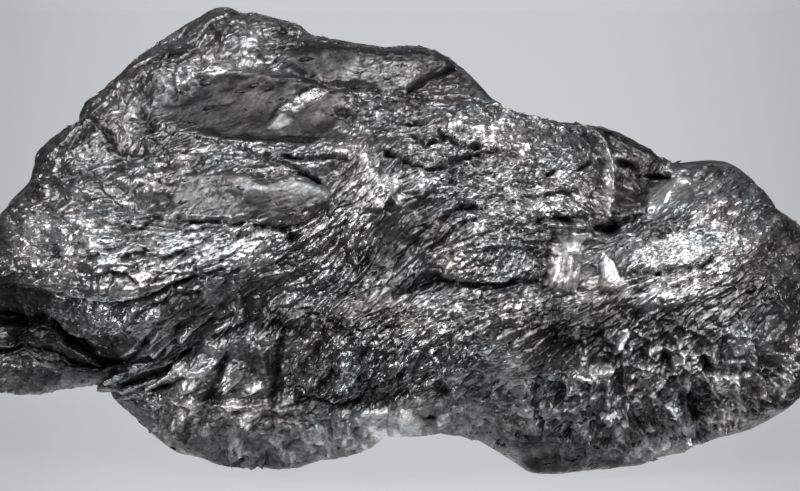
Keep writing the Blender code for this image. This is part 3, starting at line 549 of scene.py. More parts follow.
    "dark_slab_140": (304, 140, 22, 8, 0, 1.35), "slope_high": (124, 110, 18, 14, 30, 1.25),
    "basin_mid": (378, 268, 14, 10, 0, 0.75), "mottle_460": (460, 228, 18, 10, 0, 0.8),
    "spot_left": (584, 288, 14, 9, 0, 1.35), "right_low_3": (742, 380, 18, 10, 0, 1.15),
    "above_dome_3": (182, 168, 20, 8, 0, 0.82), "lobe_7b": (548, 172, 16, 10, 0, 1.25),
    "low_436": (434, 380, 30, 12, 0, 1.22), "low_545": (545, 408, 20, 10, 0, 1.18),
    "right_784": (784, 362, 12, 26, 0, 1.3),
}

# ------------------------------------------------------------------------------------------ general numbers

# Edge of the voxels that the lump is remeshed with, the rounds of smoothing, how much further each round
# goes back out than in, and where the faces are split once more.
VOXEL = 0.42 * MM
FORM_SMOOTHING = 18
SPLIT_SMOOTHING = 4
REGROWTH = 1.04
SPLIT_MARGIN = 40
SPLIT_FACING = 0.05

# The patterns of the broad face: sizes in pixels, relief in millimetres. A pattern drawn out along the grain
# has its size, its length and its relief.
FORM_SIZE = (46.0, 84.0)
FORM_RELIEF = 1.2
STREAKS = [(9.0, 60.0, 0.045), (4.5, 34.0, 0.025)]
RIBS = [(9.5, 80.0, 0.14), (4.4, 40.0, 0.10)]

# Overlapping sheets along the grain: their width, how far they wander as a share of it, the size and length
# of that wander, and the relief. Then where a sheet ends in its step, the size and length of the noise that
# it comes and goes by, as shares of the wander's, and where on that noise it begins and is full.
TERRACES = [(24.0, 0.42, 18.0, 120.0, 0.38), (10.0, 0.40, 10.0, 60.0, 0.13)]
SHEET_STEP = (0.90, 1.0)
SHEET_PATCHES = (0.9, 0.5)
SHEET_RANGE = (-0.7, 0.7)

# Cells: size, stretch along the grain, relief of their tilts, the tilts' spread, the lean that they share,
# how much their middles bulge, the relief of their edges and those edges' width as a share of the size.
SCALES = (15.0, 1.75, 0.30, 0.65, -0.45, 0.0, -0.20, 0.09)
GRANULES = (7.5, 1.2, 0.26, 0.80, -0.30, 0.25, -0.07, 0.14)
BLOCKS = [(31.0, 1.0, 0.70, 0.8, 0.0, -0.5, 0.30, 0.10), (14.0, 1.0, 0.26, 0.9, 0.0, -0.3, 0.10, 0.14)]

# Painted shade in the hollows and painted highlight on the crests: how much darker hollows are than crests,
# for each millimetre, and the rounds that the mean around them is taken in.
CREST_PAINTED_LIGHT_PER_MM = 2.2
CREST_ROUNDS = 26
CREST_PAINTED_LIGHT_LIMITS = (0.32, 1.6)

# The patterns on the other sides, sizes and relief in millimetres: layers, chunks with gaps between them,
# and broad folds, which are turned so that they don't follow the axes.
LAYERS = [((1.3, 9.0), 0.30), ((0.62, 4.2), 0.16)]
CHUNKS = [((1.5, 3.4), 0.55, -0.30), ((0.75, 1.3), 0.24, -0.12)]
CHUNK_GAP_WIDTH = 0.18
BROAD = [(8.0, 1.00), (3.4, 0.70)]
TURNED = np.array([[0.64, -0.60, 0.48], [0.77, 0.50, -0.40], [0.0, 0.62, 0.78]])

# The layers' beds there: the shares of x, y and z in the three coordinates. BEND bends the first
# and SLANT the other two, size and reach in millimetres, and so do the numbers of SIDE_WANDER
# for layers, chunks and folds.
BEDS = [(-0.24, 0.36, 0.90), (0.95, 0.0, 0.28), (0.0, 0.95, -0.30)]
BEND = (15.0, 3.2)
SLANT = (9.0, 2.4)
SIDE_WANDER = (1.8, 0.5)

# Where the other sides are rough, with strong chunks and weak layers: the size, and where it begins and is
# full. Then the chunks' and the layers' shares in smooth and in rough places, and the chunks' where they are
# seen and where they are hidden.
ROUGH_SIZE = 8.0
ROUGH_RANGE = (-0.5, 0.6)
CHUNK_SHARES = (0.4, 1.1)
LAYER_SHARES = (1.1, 0.5)
CHUNKS_HIDDEN = (0.4, 1.0)

# The other sides' character, in the plain and in the rich patches, and those patches' size and range.
SIDES = {"grain": (0.3, 1.2), "streak": (0.5, 0.3), "tone": (0.8, 1.3), "rough": (0.40, 0.30)}
SIDE_PATCH_SIZE = 6.0
SIDE_PATCH_RANGE = (-0.6, 0.6)

# Where a surface that turns from the camera takes on the other sides' patterns, and where it is out of the
# camera's sight. The broad folds there have a small share where the camera sees them.
FACING_BLEND = (0.08, 0.34)
HIDDEN = (-0.15, 0.35)
SEEN_ASIDE = 0.15

# Where an oval place begins and has its full share, on a scale that is -1 at its edge.
PLACE_EDGE = (-1.5, -0.5)
REGION_EDGE = (-1.6, -0.55)

# Named lines: how fast they fall away, their strength and its change from place to place, the size of that
# change in pixels, a crack's lips as a share of it, and the painted light along them, within limits: painted
# shade that darkens a crack by its depth and painted highlight that brightens a ridge by its height.
LINE_FALL = 1.4
LINE_STRENGTH = (0.95, 0.3)
LINE_STRENGTH_SIZE = 11.0
LIP = 0.22
LINE_PAINTED_LIGHT_PER_MM = 1.7
LINE_PAINTED_LIGHT_LIMITS = (-0.85, 0.55)

# Plates: how far inside a side they begin and are full, and the share of the wandering that their sides
# take.
PLATE_EDGE = (-0.6, 1.4)
PLATE_WANDER = 0.4

# Wandering of everything that is named: sizes and reaches in pixels.
WANDERS = ((19.0, 2.4), (6.0, 0.8))

# Mottling: sizes in pixels and shares, where grains begin and end, their relief in millimetres, the tones of
# the ground and the grains, and the share of these tones where there are no granules. The grains stand up a
# little and are painted paler, painted glints, on a ground that is painted darker, painted shade.
MOTTLES = [(13.0, 0.45), (6.5, 0.45), (3.2, 0.25)]
MOTTLE_RANGE = (0.02, 0.36)
MOTTLE_RELIEF = 0.10
MOTTLE_PAINTED_LIGHT = (0.74, 1.80)
MOTTLE_LEAST = 0.25

# The tones of the darkest and the palest scales, blocks and chunks of the sides. Then how much stronger the
# blocks' tones are than their relief, and their sides' wandering than that of the rest.
SCALE_TONES = (0.72, 1.32)
BLOCK_TONES = (0.55, 1.45)
SIDE_TONES = (0.60, 1.40)
BLOCK_CONTRAST = 1.8
BLOCK_WANDER = 2.2

# Painted shade on the underside: the share of the tone that it loses and where it does. Then the palest tone.
UNDERSIDE_SHADE = 0.40
UNDERSIDE = (0.0, 0.7)
PALEST = 3.4

# The size of a pixel in millimetres, the most triangles in a piece, what is known at each point as a number
# and as a vector, how high over the ground the relief is full, and how far past the box it may reach.
PIXEL_MM = 0.075
PIECE_TRIANGLES = 180000
NUMBERS = ("facing", "grain", "streak", "tone", "rough")
VECTORS = ("front_grain", "other_grain")
GROUND_FADE = 1.2 * MM
CLEARANCE = 1.0 * MM

# The noises' seeds. A pattern of several layers or axes takes the ones after it as well.
SEEDS = {
    "lines": 41, "line_strength": 45, "relief": 47, "streaks": 51, "ribs": 55, "character": 57, "folds": 61,
    "bend": 71, "slant": 72, "roughness": 81, "side_patches": 82, "side_wander": 85, "layers": 91,
    "scales": 91, "granules": 121, "sheets": 131, "blocks": 161, "mottles": 211, "side_folds": 301,
    "chunks": 401, "flakes": 20,
}
SHEET_SEEDS = 5
LAYER_SEEDS = 30


# ------------------------------------------------------------------------------------------- small helpers


def smooth(value, low, high):
    """0 below low, 1 above high, and a smooth rise between them."""
    share = np.clip((value - low) / (high - low), 0.0, 1.0)
    return share * share * (3 - 2 * share)


def between(pair, share):
    """The first of a pair of numbers at share 0, and the second at share 1."""
    return pair[0] + (pair[1] - pair[0]) * share


def unit(vectors):
    return vectors / np.maximum(np.linalg.norm(vectors, axis=-1, keepdims=True), 1e-12)


SHUFFLE_MASK = 4095
SHUFFLE = np.random.default_rng(7).permutation(SHUFFLE_MASK + 1)
SEED_STEP = 1031


def shuffled(columns, seed):
    """A repeatable random whole number from 0 to SHUFFLE_MASK for columns of whole numbers."""
    index = seed * SEED_STEP
    for column in columns:
        index = SHUFFLE[(index + column) & SHUFFLE_MASK]
    return index


def hashed(cells, seed):
    """A repeatable random number from 0 to 1 for each row of whole numbers."""
    return shuffled(cells.astype(np.int64).T, seed) / SHUFFLE_MASK


def steps(reach, dimensions):
    return np.array(np.meshgrid(*[reach] * dimensions, indexing="ij")).reshape(dimensions, -1).T


def value_noise(points, seed):
    """Smooth noise from -1 to 1 with one lump for each unit of the points' coordinates."""
    base = np.floor(points)
    share = points - base
    share = share * share * (3 - 2 * share)
    whole = base.astype(np.int64)
    total = np.zeros(len(points))
    for corner in steps((0, 1), points.shape[1]):
        weight = 1.0
        for axis, step in enumerate(corner):
            weight = weight * (share[:, axis] if step else 1 - share[:, axis])
        total += weight * shuffled([whole[:, axis] + step for axis, step in enumerate(corner)], seed)
    return total * (2 / SHUFFLE_MASK) - 1


# Cells: how near the side of its square a cell's site may be, how much neighbours differ in height, both as
# shares, and what is added to the seed for the tilts, that height and the cell's own number.
SITE_MARGIN = 0.1
CELL_STEP = 0.5
TILT_SEED = 7
STEP_SEED = 17
CHANCE_SEED = 23


def cells(points, seed, turn=None, spread=1.0, lean=0.0, bulge=0.0):
    """Cells round random sites: a plane's height, how far the cell's edge is, and the cell's random number.

    Each cell's plane has its own tilt, and its random number is from 0 to 1. turn maps the offsets from a
    site to the ones that the cells are round in. spread is the most that a tilt may be, lean is added to the
    first tilt, and bulge raises each cell's middle.
    """
    size = points.shape[1]
    base = np.floor(points)
    nearest = np.full(len(points), np.inf)
    second = np.full(len(points), np.inf)
    height, chance = np.zeros(len(points)), np.zeros(len(points))
    reach = (-1, 0, 1) if turn is None else (-2, -1, 0, 1, 2)
    for step in steps(reach, size):
        cell = base + step
        site = np.column_stack([hashed(cell, seed + axis) for axis in range(size)])
        offset = points - cell - between((SITE_MARGIN, 1 - SITE_MARGIN), site)
        offset = offset if turn is None else turn(offset)
        distance = (offset**2).sum(axis=1)
        closer = distance < nearest
        second = np.where(closer, nearest, np.minimum(second, distance))
        nearest = np.where(closer, distance, nearest)
        kept = cell[closer]
        tilts = [hashed(kept, seed + TILT_SEED + axis) * 2 - 1 for axis in range(size)]
        tilt = np.column_stack(tilts) * spread
        tilt[:, 0] += lean
        step_up = spread * CELL_STEP * (hashed(kept, seed + STEP_SEED) - 0.5)
        height[closer] = (tilt * offset[closer]).sum(axis=1) + step_up - bulge * distance[closer]
        chance[closer] = hashed(kept, seed + CHANCE_SEED)
    return height, np.sqrt(second) - np.sqrt(nearest), chance


def edge(distance, width):
    return np.exp(-((distance / width) ** 2))


def creased(points, seed):
    """Flat triangles between random heights from -1 to 1, one for each unit of the points' coordinates."""
    base = np.floor(points)
    share = points - base
    order = np.argsort(-share, axis=1)
    ranked = np.take_along_axis(share, order, axis=1)
    corner = base.copy()
    rows = np.arange(len(points))
    total = (1 - ranked[:, 0]) * hashed(corner, seed)
    for step in range(points.shape[1]):
        corner[rows, order[:, step]] += 1
        following = ranked[:, step + 1] if step + 1 < points.shape[1] else 0.0
        total += (ranked[:, step] - following) * hashed(corner, seed)
    return total * 2 - 1


def line_distance(x, y, path):
    """How far points are from a line through the path's points."""
    nearest = np.full(len(x), np.inf)
    for (ax, ay), (bx, by) in zip(path, path[1:]):
        dx, dy = bx - ax, by - ay
        share = np.clip(((x - ax) * dx + (y - ay) * dy) / (dx * dx + dy * dy), 0.0, 1.0)
        nearest = np.minimum(nearest, np.hypot(x - ax - share * dx, y - ay - share * dy))
    return nearest


def oval(x, y, at_x, at_y, length, width, turn):
    """Squared distance from an oval's middle, 1 at its edge. A positive turn rises to the right."""
    c, s = math.cos(math.radians(turn)), math.sin(math.radians(turn))
    along = ((x - at_x) * c - (y - at_y) * s) / length
    across = ((x - at_x) * s + (y - at_y) * c) / width
    return along**2 + across**2


def picture(points):
    """Where the main camera sees points: x, y in pixels, and the distance along its line of sight."""
    away = points - EYE
    depth = away @ LOOK
    return MIDDLE[0] + FOCAL * (away @ RIGHT) / depth, MIDDLE[1] - FOCAL * (away @ UP) / depth, depth


def from_picture(x, y, depth):
    """The points that the main camera sees at x, y in the picture, so far along its line of sight."""
    return (
        EYE
        + np.outer((x - MIDDLE[0]) / FOCAL * depth, RIGHT)
        - np.outer((y - MIDDLE[1]) / FOCAL * depth, UP)
        + np.outer(depth, LOOK)
    )


# --------------------------------------------------------------------------- the grain of the broad face

# A grid over the picture, in pixels. Then how far the named places of the grain reach and how fast that
# falls away, the rounds that keep its lines parallel and how much their distance may vary, how far before
# the grid's end a point has to be, and the length of a step along the grain as a share of a pattern's size.
GRID_STEP = 5.0
GRID_X = np.arange(-80.0, 881.0, GRID_STEP)
GRID_Y = np.arange(-45.0, 541.0, GRID_STEP)
GRAIN_REACH = 26.0
GRAIN_FALL = 2.5
GRAIN_ROUNDS = 14
GRAIN_STRETCH = (0.45, 2.2)
LAST_NODE = 1.001
WALK_STEP = 0.55


def grain_angle(x, y):
    """The grain's angle, from the named places around each point."""
    places = np.array(GRAIN, dtype=float)
    distance = (x[..., None] - places[:, 0]) ** 2 + (y[..., None] - places[:, 1]) ** 2
    weight = 1.0 / (distance + GRAIN_REACH**2) ** GRAIN_FALL
    return np.radians((weight * places[:, 2]).sum(axis=-1) / weight.sum(axis=-1))


def mirrored(values, flip_x, flip_y):
    """Values with their mirror images beside and below them, each image changed in sign or not."""
    top = np.hstack((values, flip_x * values[:, ::-1]))
    return np.vstack((top, flip_y * top[::-1]))


def potential(field_x, field_y):
    """The scalar on the grid whose slope comes closest to a field, by a Fourier solution."""
    around_x, around_y = mirrored(field_x, -1, 1), mirrored(field_y, 1, -1)
    spread = np.roll(around_x, -1, axis=1) - np.roll(around_x, 1, axis=1)
    spread += np.roll(around_y, -1, axis=0) - np.roll(around_y, 1, axis=0)
    rows, columns = spread.shape
    wave_y = 2 * np.cos(2 * np.pi * np.arange(rows) / rows) - 2
    wave_x = 2 * np.cos(2 * np.pi * np.arange(columns) / columns) - 2
    waves = wave_y[:, None] + wave_x[None, :]
    waves[0, 0] = 1.0
    solution = np.fft.fft2(spread * GRID_STEP / 2) / waves
    solution[0, 0] = 0.0
    return np.real(np.fft.ifft2(solution))[: len(GRID_Y), : len(GRID_X)]


def steady_potential(field_x, field_y):
    """As potential, but the field's length may vary, so that the slope keeps to its direction."""
    length = np.ones_like(field_x)
    for _ in range(GRAIN_ROUNDS):
        result = potential(field_x * length, field_y * length)
        slope_y, slope_x = np.gradient(result, GRID_STEP)
        length = np.clip(slope_x * field_x + slope_y * field_y, *GRAIN_STRETCH)
    return result


def grain_maps():
    """Maps on the grid: the distances across the grain and along it, and its direction's two parts."""
    x, y = np.meshgrid(GRID_X, GRID_Y)
    angle = grain_angle(x, y)
    across = steady_potential(np.sin(angle), np.cos(angle))
    along = steady_potential(np.cos(angle), -np.sin(angle))
    return across, along, np.cos(angle), -np.sin(angle)


def on_grid(values, x, y):
    """A grid map read at points, with straight blending between its nodes."""
    column = np.clip((x - GRID_X[0]) / GRID_STEP, 0, len(GRID_X) - LAST_NODE)
    row = np.clip((y - GRID_Y[0]) / GRID_STEP, 0, len(GRID_Y) - LAST_NODE)
    left, top = column.astype(int), row.astype(int)
    u, v = column - left, row - top
    upper = values[top, left] * (1 - u) + values[top, left + 1] * u
    lower = values[top + 1, left] * (1 - u) + values[top + 1, left + 1] * u
    return upper * (1 - v) + lower * v


def drawn_out(x, y, size, length, seed, maps):
    """Noise of unit spread that is drawn out along the grain: its mean over a short walk both ways."""
    step = WALK_STEP * size
    most = int(length / 2 / step)
    total = value_noise(np.column_stack((x, y)) / size, seed)
    for way in (step, -step):
        at_x, at_y = x.copy(), y.copy()
        for count in range(1, most + 1):
            move_x, move_y = on_grid(maps[2], at_x, at_y), on_grid(maps[3], at_x, at_y)
            at_x += way * move_x
            at_y += way * move_y
            weight = 0.5 + 0.5 * math.cos(math.pi * count / (most + 1))
            total += weight * value_noise(np.column_stack((at_x, at_y)) / size, seed)
    return total / total.std()


# ------------------------------------------------------------------------------------------ the lump's mesh


class Skin:
    """Arrays for a mesh: its points, edges, triangles, and the corners of its faces."""

    def __init__(self, mesh):
        self.count = len(mesh.vertices)
        self.points = self.read(mesh.vertices, "co", 3, float).reshape(-1, 3)
        self.edges = self.read(mesh.edges, "vertices", 2).reshape(-1, 2)
        self.corners = self.read(mesh.loops, "vertex_index")
        self.starts = self.read(mesh.polygons, "loop_start")
        self.sizes = self.read(mesh.polygons, "loop_total")
        mesh.calc_loop_triangles()
        self.triangles = self.read(mesh.loop_triangles, "vertices", 3).reshape(-1, 3)

    @staticmethod
    def read(collection, name, width=1, kind=int):
        values = np.empty(len(collection) * width, dtype=kind)
        collection.foreach_get(name, values)
        return values

    def neighbour_mean(self, values):
        """The mean of each point's neighbours, for one array of numbers or of vectors."""
        ends = np.concatenate([self.edges[:, 0], self.edges[:, 1]])
        others = np.concatenate([self.edges[:, 1], self.edges[:, 0]])
        amount = np.maximum(np.bincount(ends, minlength=self.count), 1)
        means = []
        for column in values.reshape(self.count, -1).T:
            means.append(np.bincount(ends, column[others], minlength=self.count) / amount)
        return np.column_stack(means).reshape(values.shape)

    def relax(self, rounds, share=0.5):
        """Smooths the points, each pair of rounds in and out again so that the form doesn't shrink."""
        for _ in range(rounds):
            for step in (share, -share * REGROWTH):
                self.points += step * (self.neighbour_mean(self.points) - self.points)

    def normals(self):
        a, b, c = (self.points[self.triangles[:, k]] for k in range(3))
        face = np.cross(b - a, c - a)
        total = np.zeros_like(self.points)
        for k in range(3):
            for axis in range(3):
                total[:, axis] += np.bincount(self.triangles[:, k], face[:, axis], minlength=self.count)
        return unit(total)

    def write(self, mesh):
        mesh.vertices.foreach_set("co", self.points.ravel())
        mesh.update()


def linked(name, mesh):
    obj = bpy.data.objects.new(name, mesh)
    bpy.context.scene.collection.objects.link(obj)
    return obj


def modified(mesh, kind, **settings):
    """A new mesh: the old one with a modifier applied."""
    working = linked("working", mesh)
    modifier = working.modifiers.new("working", kind)
    for name, value in settings.items():
        setattr(modifier, name, value)
    evaluated = working.evaluated_get(bpy.context.evaluated_depsgraph_get())
    result = bpy.data.meshes.new_from_object(evaluated)
    bpy.data.objects.remove(working)
    return result


def facing_camera(points, normals):
    """1 where the surface faces the main camera squarely, and 0 or less where it faces away."""
    return -(unit(points - EYE) * normals).sum(axis=1)


def split_broad_face(mesh):
    """Splits each face that the main camera can see into four, so that it can hold finer relief."""
    skin = Skin(mesh)
    x, _, _ = picture(skin.points)
    inside = (x > -SPLIT_MARGIN) & (x < PICTURE_WIDTH + SPLIT_MARGIN)
    chosen = inside & (facing_camera(skin.points, skin.normals()) > SPLIT_FACING)
    bm = bmesh.new()
    bm.from_mesh(mesh)
    bm.verts.ensure_lookup_table()
    edges = [e for e in bm.edges if chosen[e.verts[0].index] and chosen[e.verts[1].index]]
    bmesh.ops.subdivide_edges(bm, edges=edges, cuts=1, use_grid_fill=True)
    bmesh.ops.triangulate(bm, faces=[f for f in bm.faces if len(f.verts) > 4])
    bm.to_mesh(mesh)
    bm.free()


def outline_reach(angle):
    """How far the named outline is from its centre, in pixels, in directions in the picture."""
    places = np.array(OUTLINE, dtype=float) - OUTLINE_CENTRE
    place_angle, place_reach = np.arctan2(places[:, 1], places[:, 0]), np.hypot(places[:, 0], places[:, 1])
    order = np.argsort(place_angle)
    return np.interp(angle, place_angle[order], place_reach[order], period=2 * np.pi)


def from_centre(x, y):
    """The direction and the distance of points in the picture from the outline's centre."""
    right, down = x - OUTLINE_CENTRE[0], y - OUTLINE_CENTRE[1]
    return np.arctan2(down, right), np.hypot(down, right)


def fit_outline(skin):
    """Eases the points sideways, in the picture, until the lump's outline there is the named one."""
    x, y, depth = picture(skin.points)
    angle, reach = from_centre(x, y)
    index = ((angle + np.pi) / (2 * np.pi) * OUTLINE_BINS).astype(int) % OUTLINE_BINS
    own = np.zeros(OUTLINE_BINS)
    np.maximum.at(own, index, reach)
    own = np.maximum(own, np.maximum(np.roll(own, 1), np.roll(own, -1)))
    middle = (np.arange(OUTLINE_BINS) + 0.5) / OUTLINE_BINS * 2 * np.pi - np.pi
    ratio = np.clip(outline_reach(middle) / own, *OUTLINE_CHANGE)
    kernel = np.hanning(OUTLINE_KERNEL + 2)[1:-1]
    side = OUTLINE_KERNEL // 2
    ratio = np.concatenate([ratio[-side:], ratio, ratio[:side]])
    ratio = np.convolve(ratio, kernel / kernel.sum(), "valid")
    at_point = np.interp(angle, middle, ratio, period=2 * np.pi)
    own_at_point = np.interp(angle, middle, own, period=2 * np.pi)
    scale = 1 + (at_point - 1) * smooth(reach / own_at_point, *OUTLINE_SHARE)
    moved_x = OUTLINE_CENTRE[0] + (x - OUTLINE_CENTRE[0]) * scale
    moved_y = OUTLINE_CENTRE[1] + (y - OUTLINE_CENTRE[1]) * scale
    skin.points = from_picture(moved_x, moved_y, depth)


def calm_outline(x, y):
    """1 inside the outline in the picture, and less along it, where the relief is to be weaker."""
    angle, reach = from_centre(x, y)
    return 1 - OUTLINE_CALM * smooth(reach / outline_reach(angle), *OUTLINE_EDGE)


def wandering(x, y, seed):
    """The points moved a few pixels about, so that nothing that is drawn there has a smooth edge."""
    for size, reach in WANDERS:
        spot = np.column_stack((x, y)) / size
        x, y = x + reach * value_noise(spot, seed), y + reach * value_noise(spot, seed + 1)
        seed += 2
    return x, y


def line_profiles(x, y):
    """The named lines one after another: how near the points are to each, from 0 to 1, and its height."""
    change = value_noise(np.column_stack((x, y)) / LINE_STRENGTH_SIZE, SEEDS["line_strength"])
    strength = LINE_STRENGTH[0] + LINE_STRENGTH[1] * change
    x, y = wandering(x, y, SEEDS["lines"])
    for path, width, amount in LINES.values():
        yield strength * np.exp(-((line_distance(x, y, path) / width) ** LINE_FALL)), amount


def drawn_lines(x, y):
    """The relief of the named cracks and ridges. A crack has raised lips."""
    height = np.zeros(len(x))
    for near, amount in line_profiles(x, y):
        height += amount * (near - LIP * (amount < 0) * np.sqrt(near))
    return height


def line_shade_and_highlight(x, y):
    """Painted shade and highlight: how much of its tone the surface keeps in cracks and gains on ridges."""
    tone = np.ones(len(x))
    for near, amount in line_profiles(x, y):
        tone *= 1 + near * np.clip(LINE_PAINTED_LIGHT_PER_MM * amount, *LINE_PAINTED_LIGHT_LIMITS)
    return tone


def cell_relief(x, y, pattern, seed, maps):
    """Scales, granules or blocks that lie along the grain, in millimetres, and each one's random number."""
    size, stretch, relief, spread, lean, bulge, edge_relief, edge_width = pattern
    grain_x, grain_y = on_grid(maps[2], x, y), on_grid(maps[3], x, y)

    def turn(offset):
        across = offset[:, 0] * grain_y - offset[:, 1] * grain_x
        along = offset[:, 0] * grain_x + offset[:, 1] * grain_y
        return np.column_stack((across * stretch, along / stretch))

    height, border, chance = cells(np.column_stack((x, y)) / size, seed, turn, spread, lean, bulge)
    return relief * height + edge_relief * edge(border, edge_width), chance


def terraces(x, y, pattern, seed, maps):
    """Sheets that overlap like slates, each rising to a sharp step at its lower side, in millimetres."""
    size, wander, noise_size, noise_length, relief = pattern
    across = on_grid(maps[0], x, y) / size + wander * drawn_out(x, y, noise_size, noise_length, seed, maps)
    share = across - np.floor(across)
    patch_size, patch_length = SHEET_PATCHES[0] * noise_size, SHEET_PATCHES[1] * noise_length
    strength = smooth(drawn_out(x, y, patch_size, patch_length, seed + 1, maps), *SHEET_RANGE)
    return relief * strength * (share - smooth(share, *SHEET_STEP))


def plates(x, y):
    """The named plates, flat tilted faces with sharp straight sides: their relief and their tone.

    Their tone is painted light and painted shade.
    """
    height, tone = np.zeros(len(x)), np.ones(len(x))
    for corners_of, lift, slope_right, slope_down, factor in PLATES.values():
        places = np.array(corners_of, dtype=float)
        following = np.roll(places, -1, axis=0)
        side = following - places
        side /= np.linalg.norm(side, axis=1, keepdims=True)
        inside = np.full(len(x), np.inf)
        for (at_x, at_y), (dx, dy) in zip(places, side):
            inside = np.minimum(inside, (y - at_y) * dx - (x - at_x) * dy)
        middle = places.mean(axis=0)
        face = lift + PIXEL_MM * (slope_right * (x - middle[0]) + slope_down * (y - middle[1]))
        share = smooth(inside, *PLATE_EDGE)
        height += face * share
        tone *= 1 + (factor - 1) * share
    return height, tone


def mottled(x, y):
    """Irregular bright grains on a darker ground, from 0 to 1: where painted glints and painted shade go."""
    total = np.zeros(len(x))
    for seed, (size, share) in enumerate(MOTTLES, SEEDS["mottles"]):
        total += share * value_noise(np.column_stack((x, y)) / size, seed)
    return smooth(total, *MOTTLE_RANGE)


def named_relief(x, y, warp_x, warp_y):
    """The relief of the named lines, plates, swellings and leans, and the plates' painted light and shade."""
    height = drawn_lines(x, y)
    plate_height, tone = plates(x + PLATE_WANDER * (warp_x - x), y + PLATE_WANDER * (warp_y - y))
    height += plate_height
    for at_x, at_y, length, width, turn, amount in SWELLINGS.values():
        height += amount * np.exp(-oval(warp_x, warp_y, at_x, at_y, length, width, turn))
    for at_x, at_y, length, width, turn, slope in LEANS.values():
        share = smooth(-oval(warp_x, warp_y, at_x, at_y, length, width, turn), *PLACE_EDGE)
        height += slope * (warp_y - at_y) * PIXEL_MM * share
    return height, tone


def grain_relief(x, y, warp_x, warp_y, maps, character):
    """The relief that lies along the grain: broad folds, streaks, ribs and sheets."""
    flow = np.column_stack((on_grid(maps[0], warp_x, warp_y), on_grid(maps[1], warp_x, warp_y)))
    height = character["form"] * FORM_RELIEF * creased(flow / FORM_SIZE, SEEDS["folds"])
    for seed, (size, length, amount) in enumerate(STREAKS, SEEDS["streaks"]):
        height += character["streak"] * amount * drawn_out(x, y, size, length, seed, maps)
    for seed, (size, length, amount) in enumerate(RIBS, SEEDS["ribs"]):
        ribs = np.abs(drawn_out(warp_x, warp_y, size, length, seed, maps))
        height -= character["rib"] * amount * ribs
    for layer, pattern in enumerate(TERRACES):
        seed = SEEDS["sheets"] + SHEET_SEEDS * layer
        height += character["sheet"] * terraces(warp_x, warp_y, pattern, seed, maps)
    return height


def granular_relief(x, y, warp_x, warp_y, maps, character):
    """The relief and the tone of what lies in pieces: scales, granules, mottled grains and blocks."""
    scales, chance = cell_relief(warp_x, warp_y, SCALES, SEEDS["scales"], maps)
    height = character["scale"] * scales
    tone = 1 + np.minimum(character["scale"], 1) * (between(SCALE_TONES, chance) - 1)
    granules, _ = cell_relief(warp_x, warp_y, GRANULES, SEEDS["granules"], maps)
    height += character["small"] * granules
    grains = mottled(x, y)
    height += character["small"] * MOTTLE_RELIEF * grains
    share = between((MOTTLE_LEAST, 1), np.clip(character["small"], 0, 1))
    # Painted glints on the mottled grains and painted shade on the ground between them.
    tone *= 1 + share * (between(MOTTLE_PAINTED_LIGHT, grains) - 1)
    far_x, far_y = x + BLOCK_WANDER * (warp_x - x), y + BLOCK_WANDER * (warp_y - y)
    share = np.minimum(BLOCK_CONTRAST * character["block"], 1.0)
    for layer, pattern in enumerate(BLOCKS):
        seed = SEEDS["blocks"] + LAYER_SEEDS * layer
        blocks, chance = cell_relief(far_x, far_y, pattern, seed, maps)
        height += character["block"] * blocks
        tone *= 1 + share * (between(BLOCK_TONES, chance) - 1)
    return height, tone


def broad_face_relief(x, y, maps, character):
    """The broad face's relief in millimetres, before it fades out towards the other sides, and its tone."""
    warp_x, warp_y = wandering(x, y, SEEDS["relief"])
    height, tone = named_relief(x, y, warp_x, warp_y)
    height += grain_relief(x, y, warp_x, warp_y, maps, character)
    piece_height, piece_tone = granular_relief(x, y, warp_x, warp_y, maps, character)
    return height + piece_height, tone * piece_tone


def bedding(points):
    """Coordinates of the layers that show on the other sides: across them and, twice, along them, in mm."""
    place = points / MM
    bend = BEND[1] * value_noise(place / BEND[0], SEEDS["bend"])
    slant = SLANT[1] * value_noise(place / SLANT[0], SEEDS["slant"])
    across, along, aside = (place @ shares for shares in BEDS)
    return across + bend, along + slant, aside - slant


def other_relief(points, layers, hidden):
    """The relief of the other sides in millimetres, and their tone. Its broad folds need a hidden place."""
    across, along, aside = layers
    place = points / MM
    rough = smooth(value_noise(place / ROUGH_SIZE, SEEDS["roughness"]), *ROUGH_RANGE)
    size, reach = SIDE_WANDER
    seeds = [SEEDS["side_wander"] + axis for axis in range(3)]
    wander = reach * np.column_stack([value_noise(place / size, seed) for seed in seeds])
    height, tone = np.zeros(len(points)), np.ones(len(points))
    for layer, (size, amount) in enumerate(BROAD):
        seed = SEEDS["side_folds"] + LAYER_SEEDS * layer
        height += hidden * amount * creased((place + wander) @ TURNED / size, seed)
    for layer, (size, amount) in enumerate(LAYERS):
        flow = np.column_stack((across / size[0], along / size[1], aside / size[1]))
        height += between(LAYER_SHARES, rough) * amount * value_noise(flow, SEEDS["layers"] + layer)
    for layer, (size, amount, gap) in enumerate(CHUNKS):
        flow = np.column_stack((across / size[0], along / size[1], aside / size[1])) + wander / size[1]
        planes, border, chance = cells(flow, SEEDS["chunks"] + LAYER_SEEDS * layer)
        chunks = amount * planes + gap * edge(border, CHUNK_GAP_WIDTH)
        height += between(CHUNK_SHARES, rough) * between(CHUNKS_HIDDEN, hidden) * chunks
        tone *= between(SIDE_TONES, chance)
    return height, tone


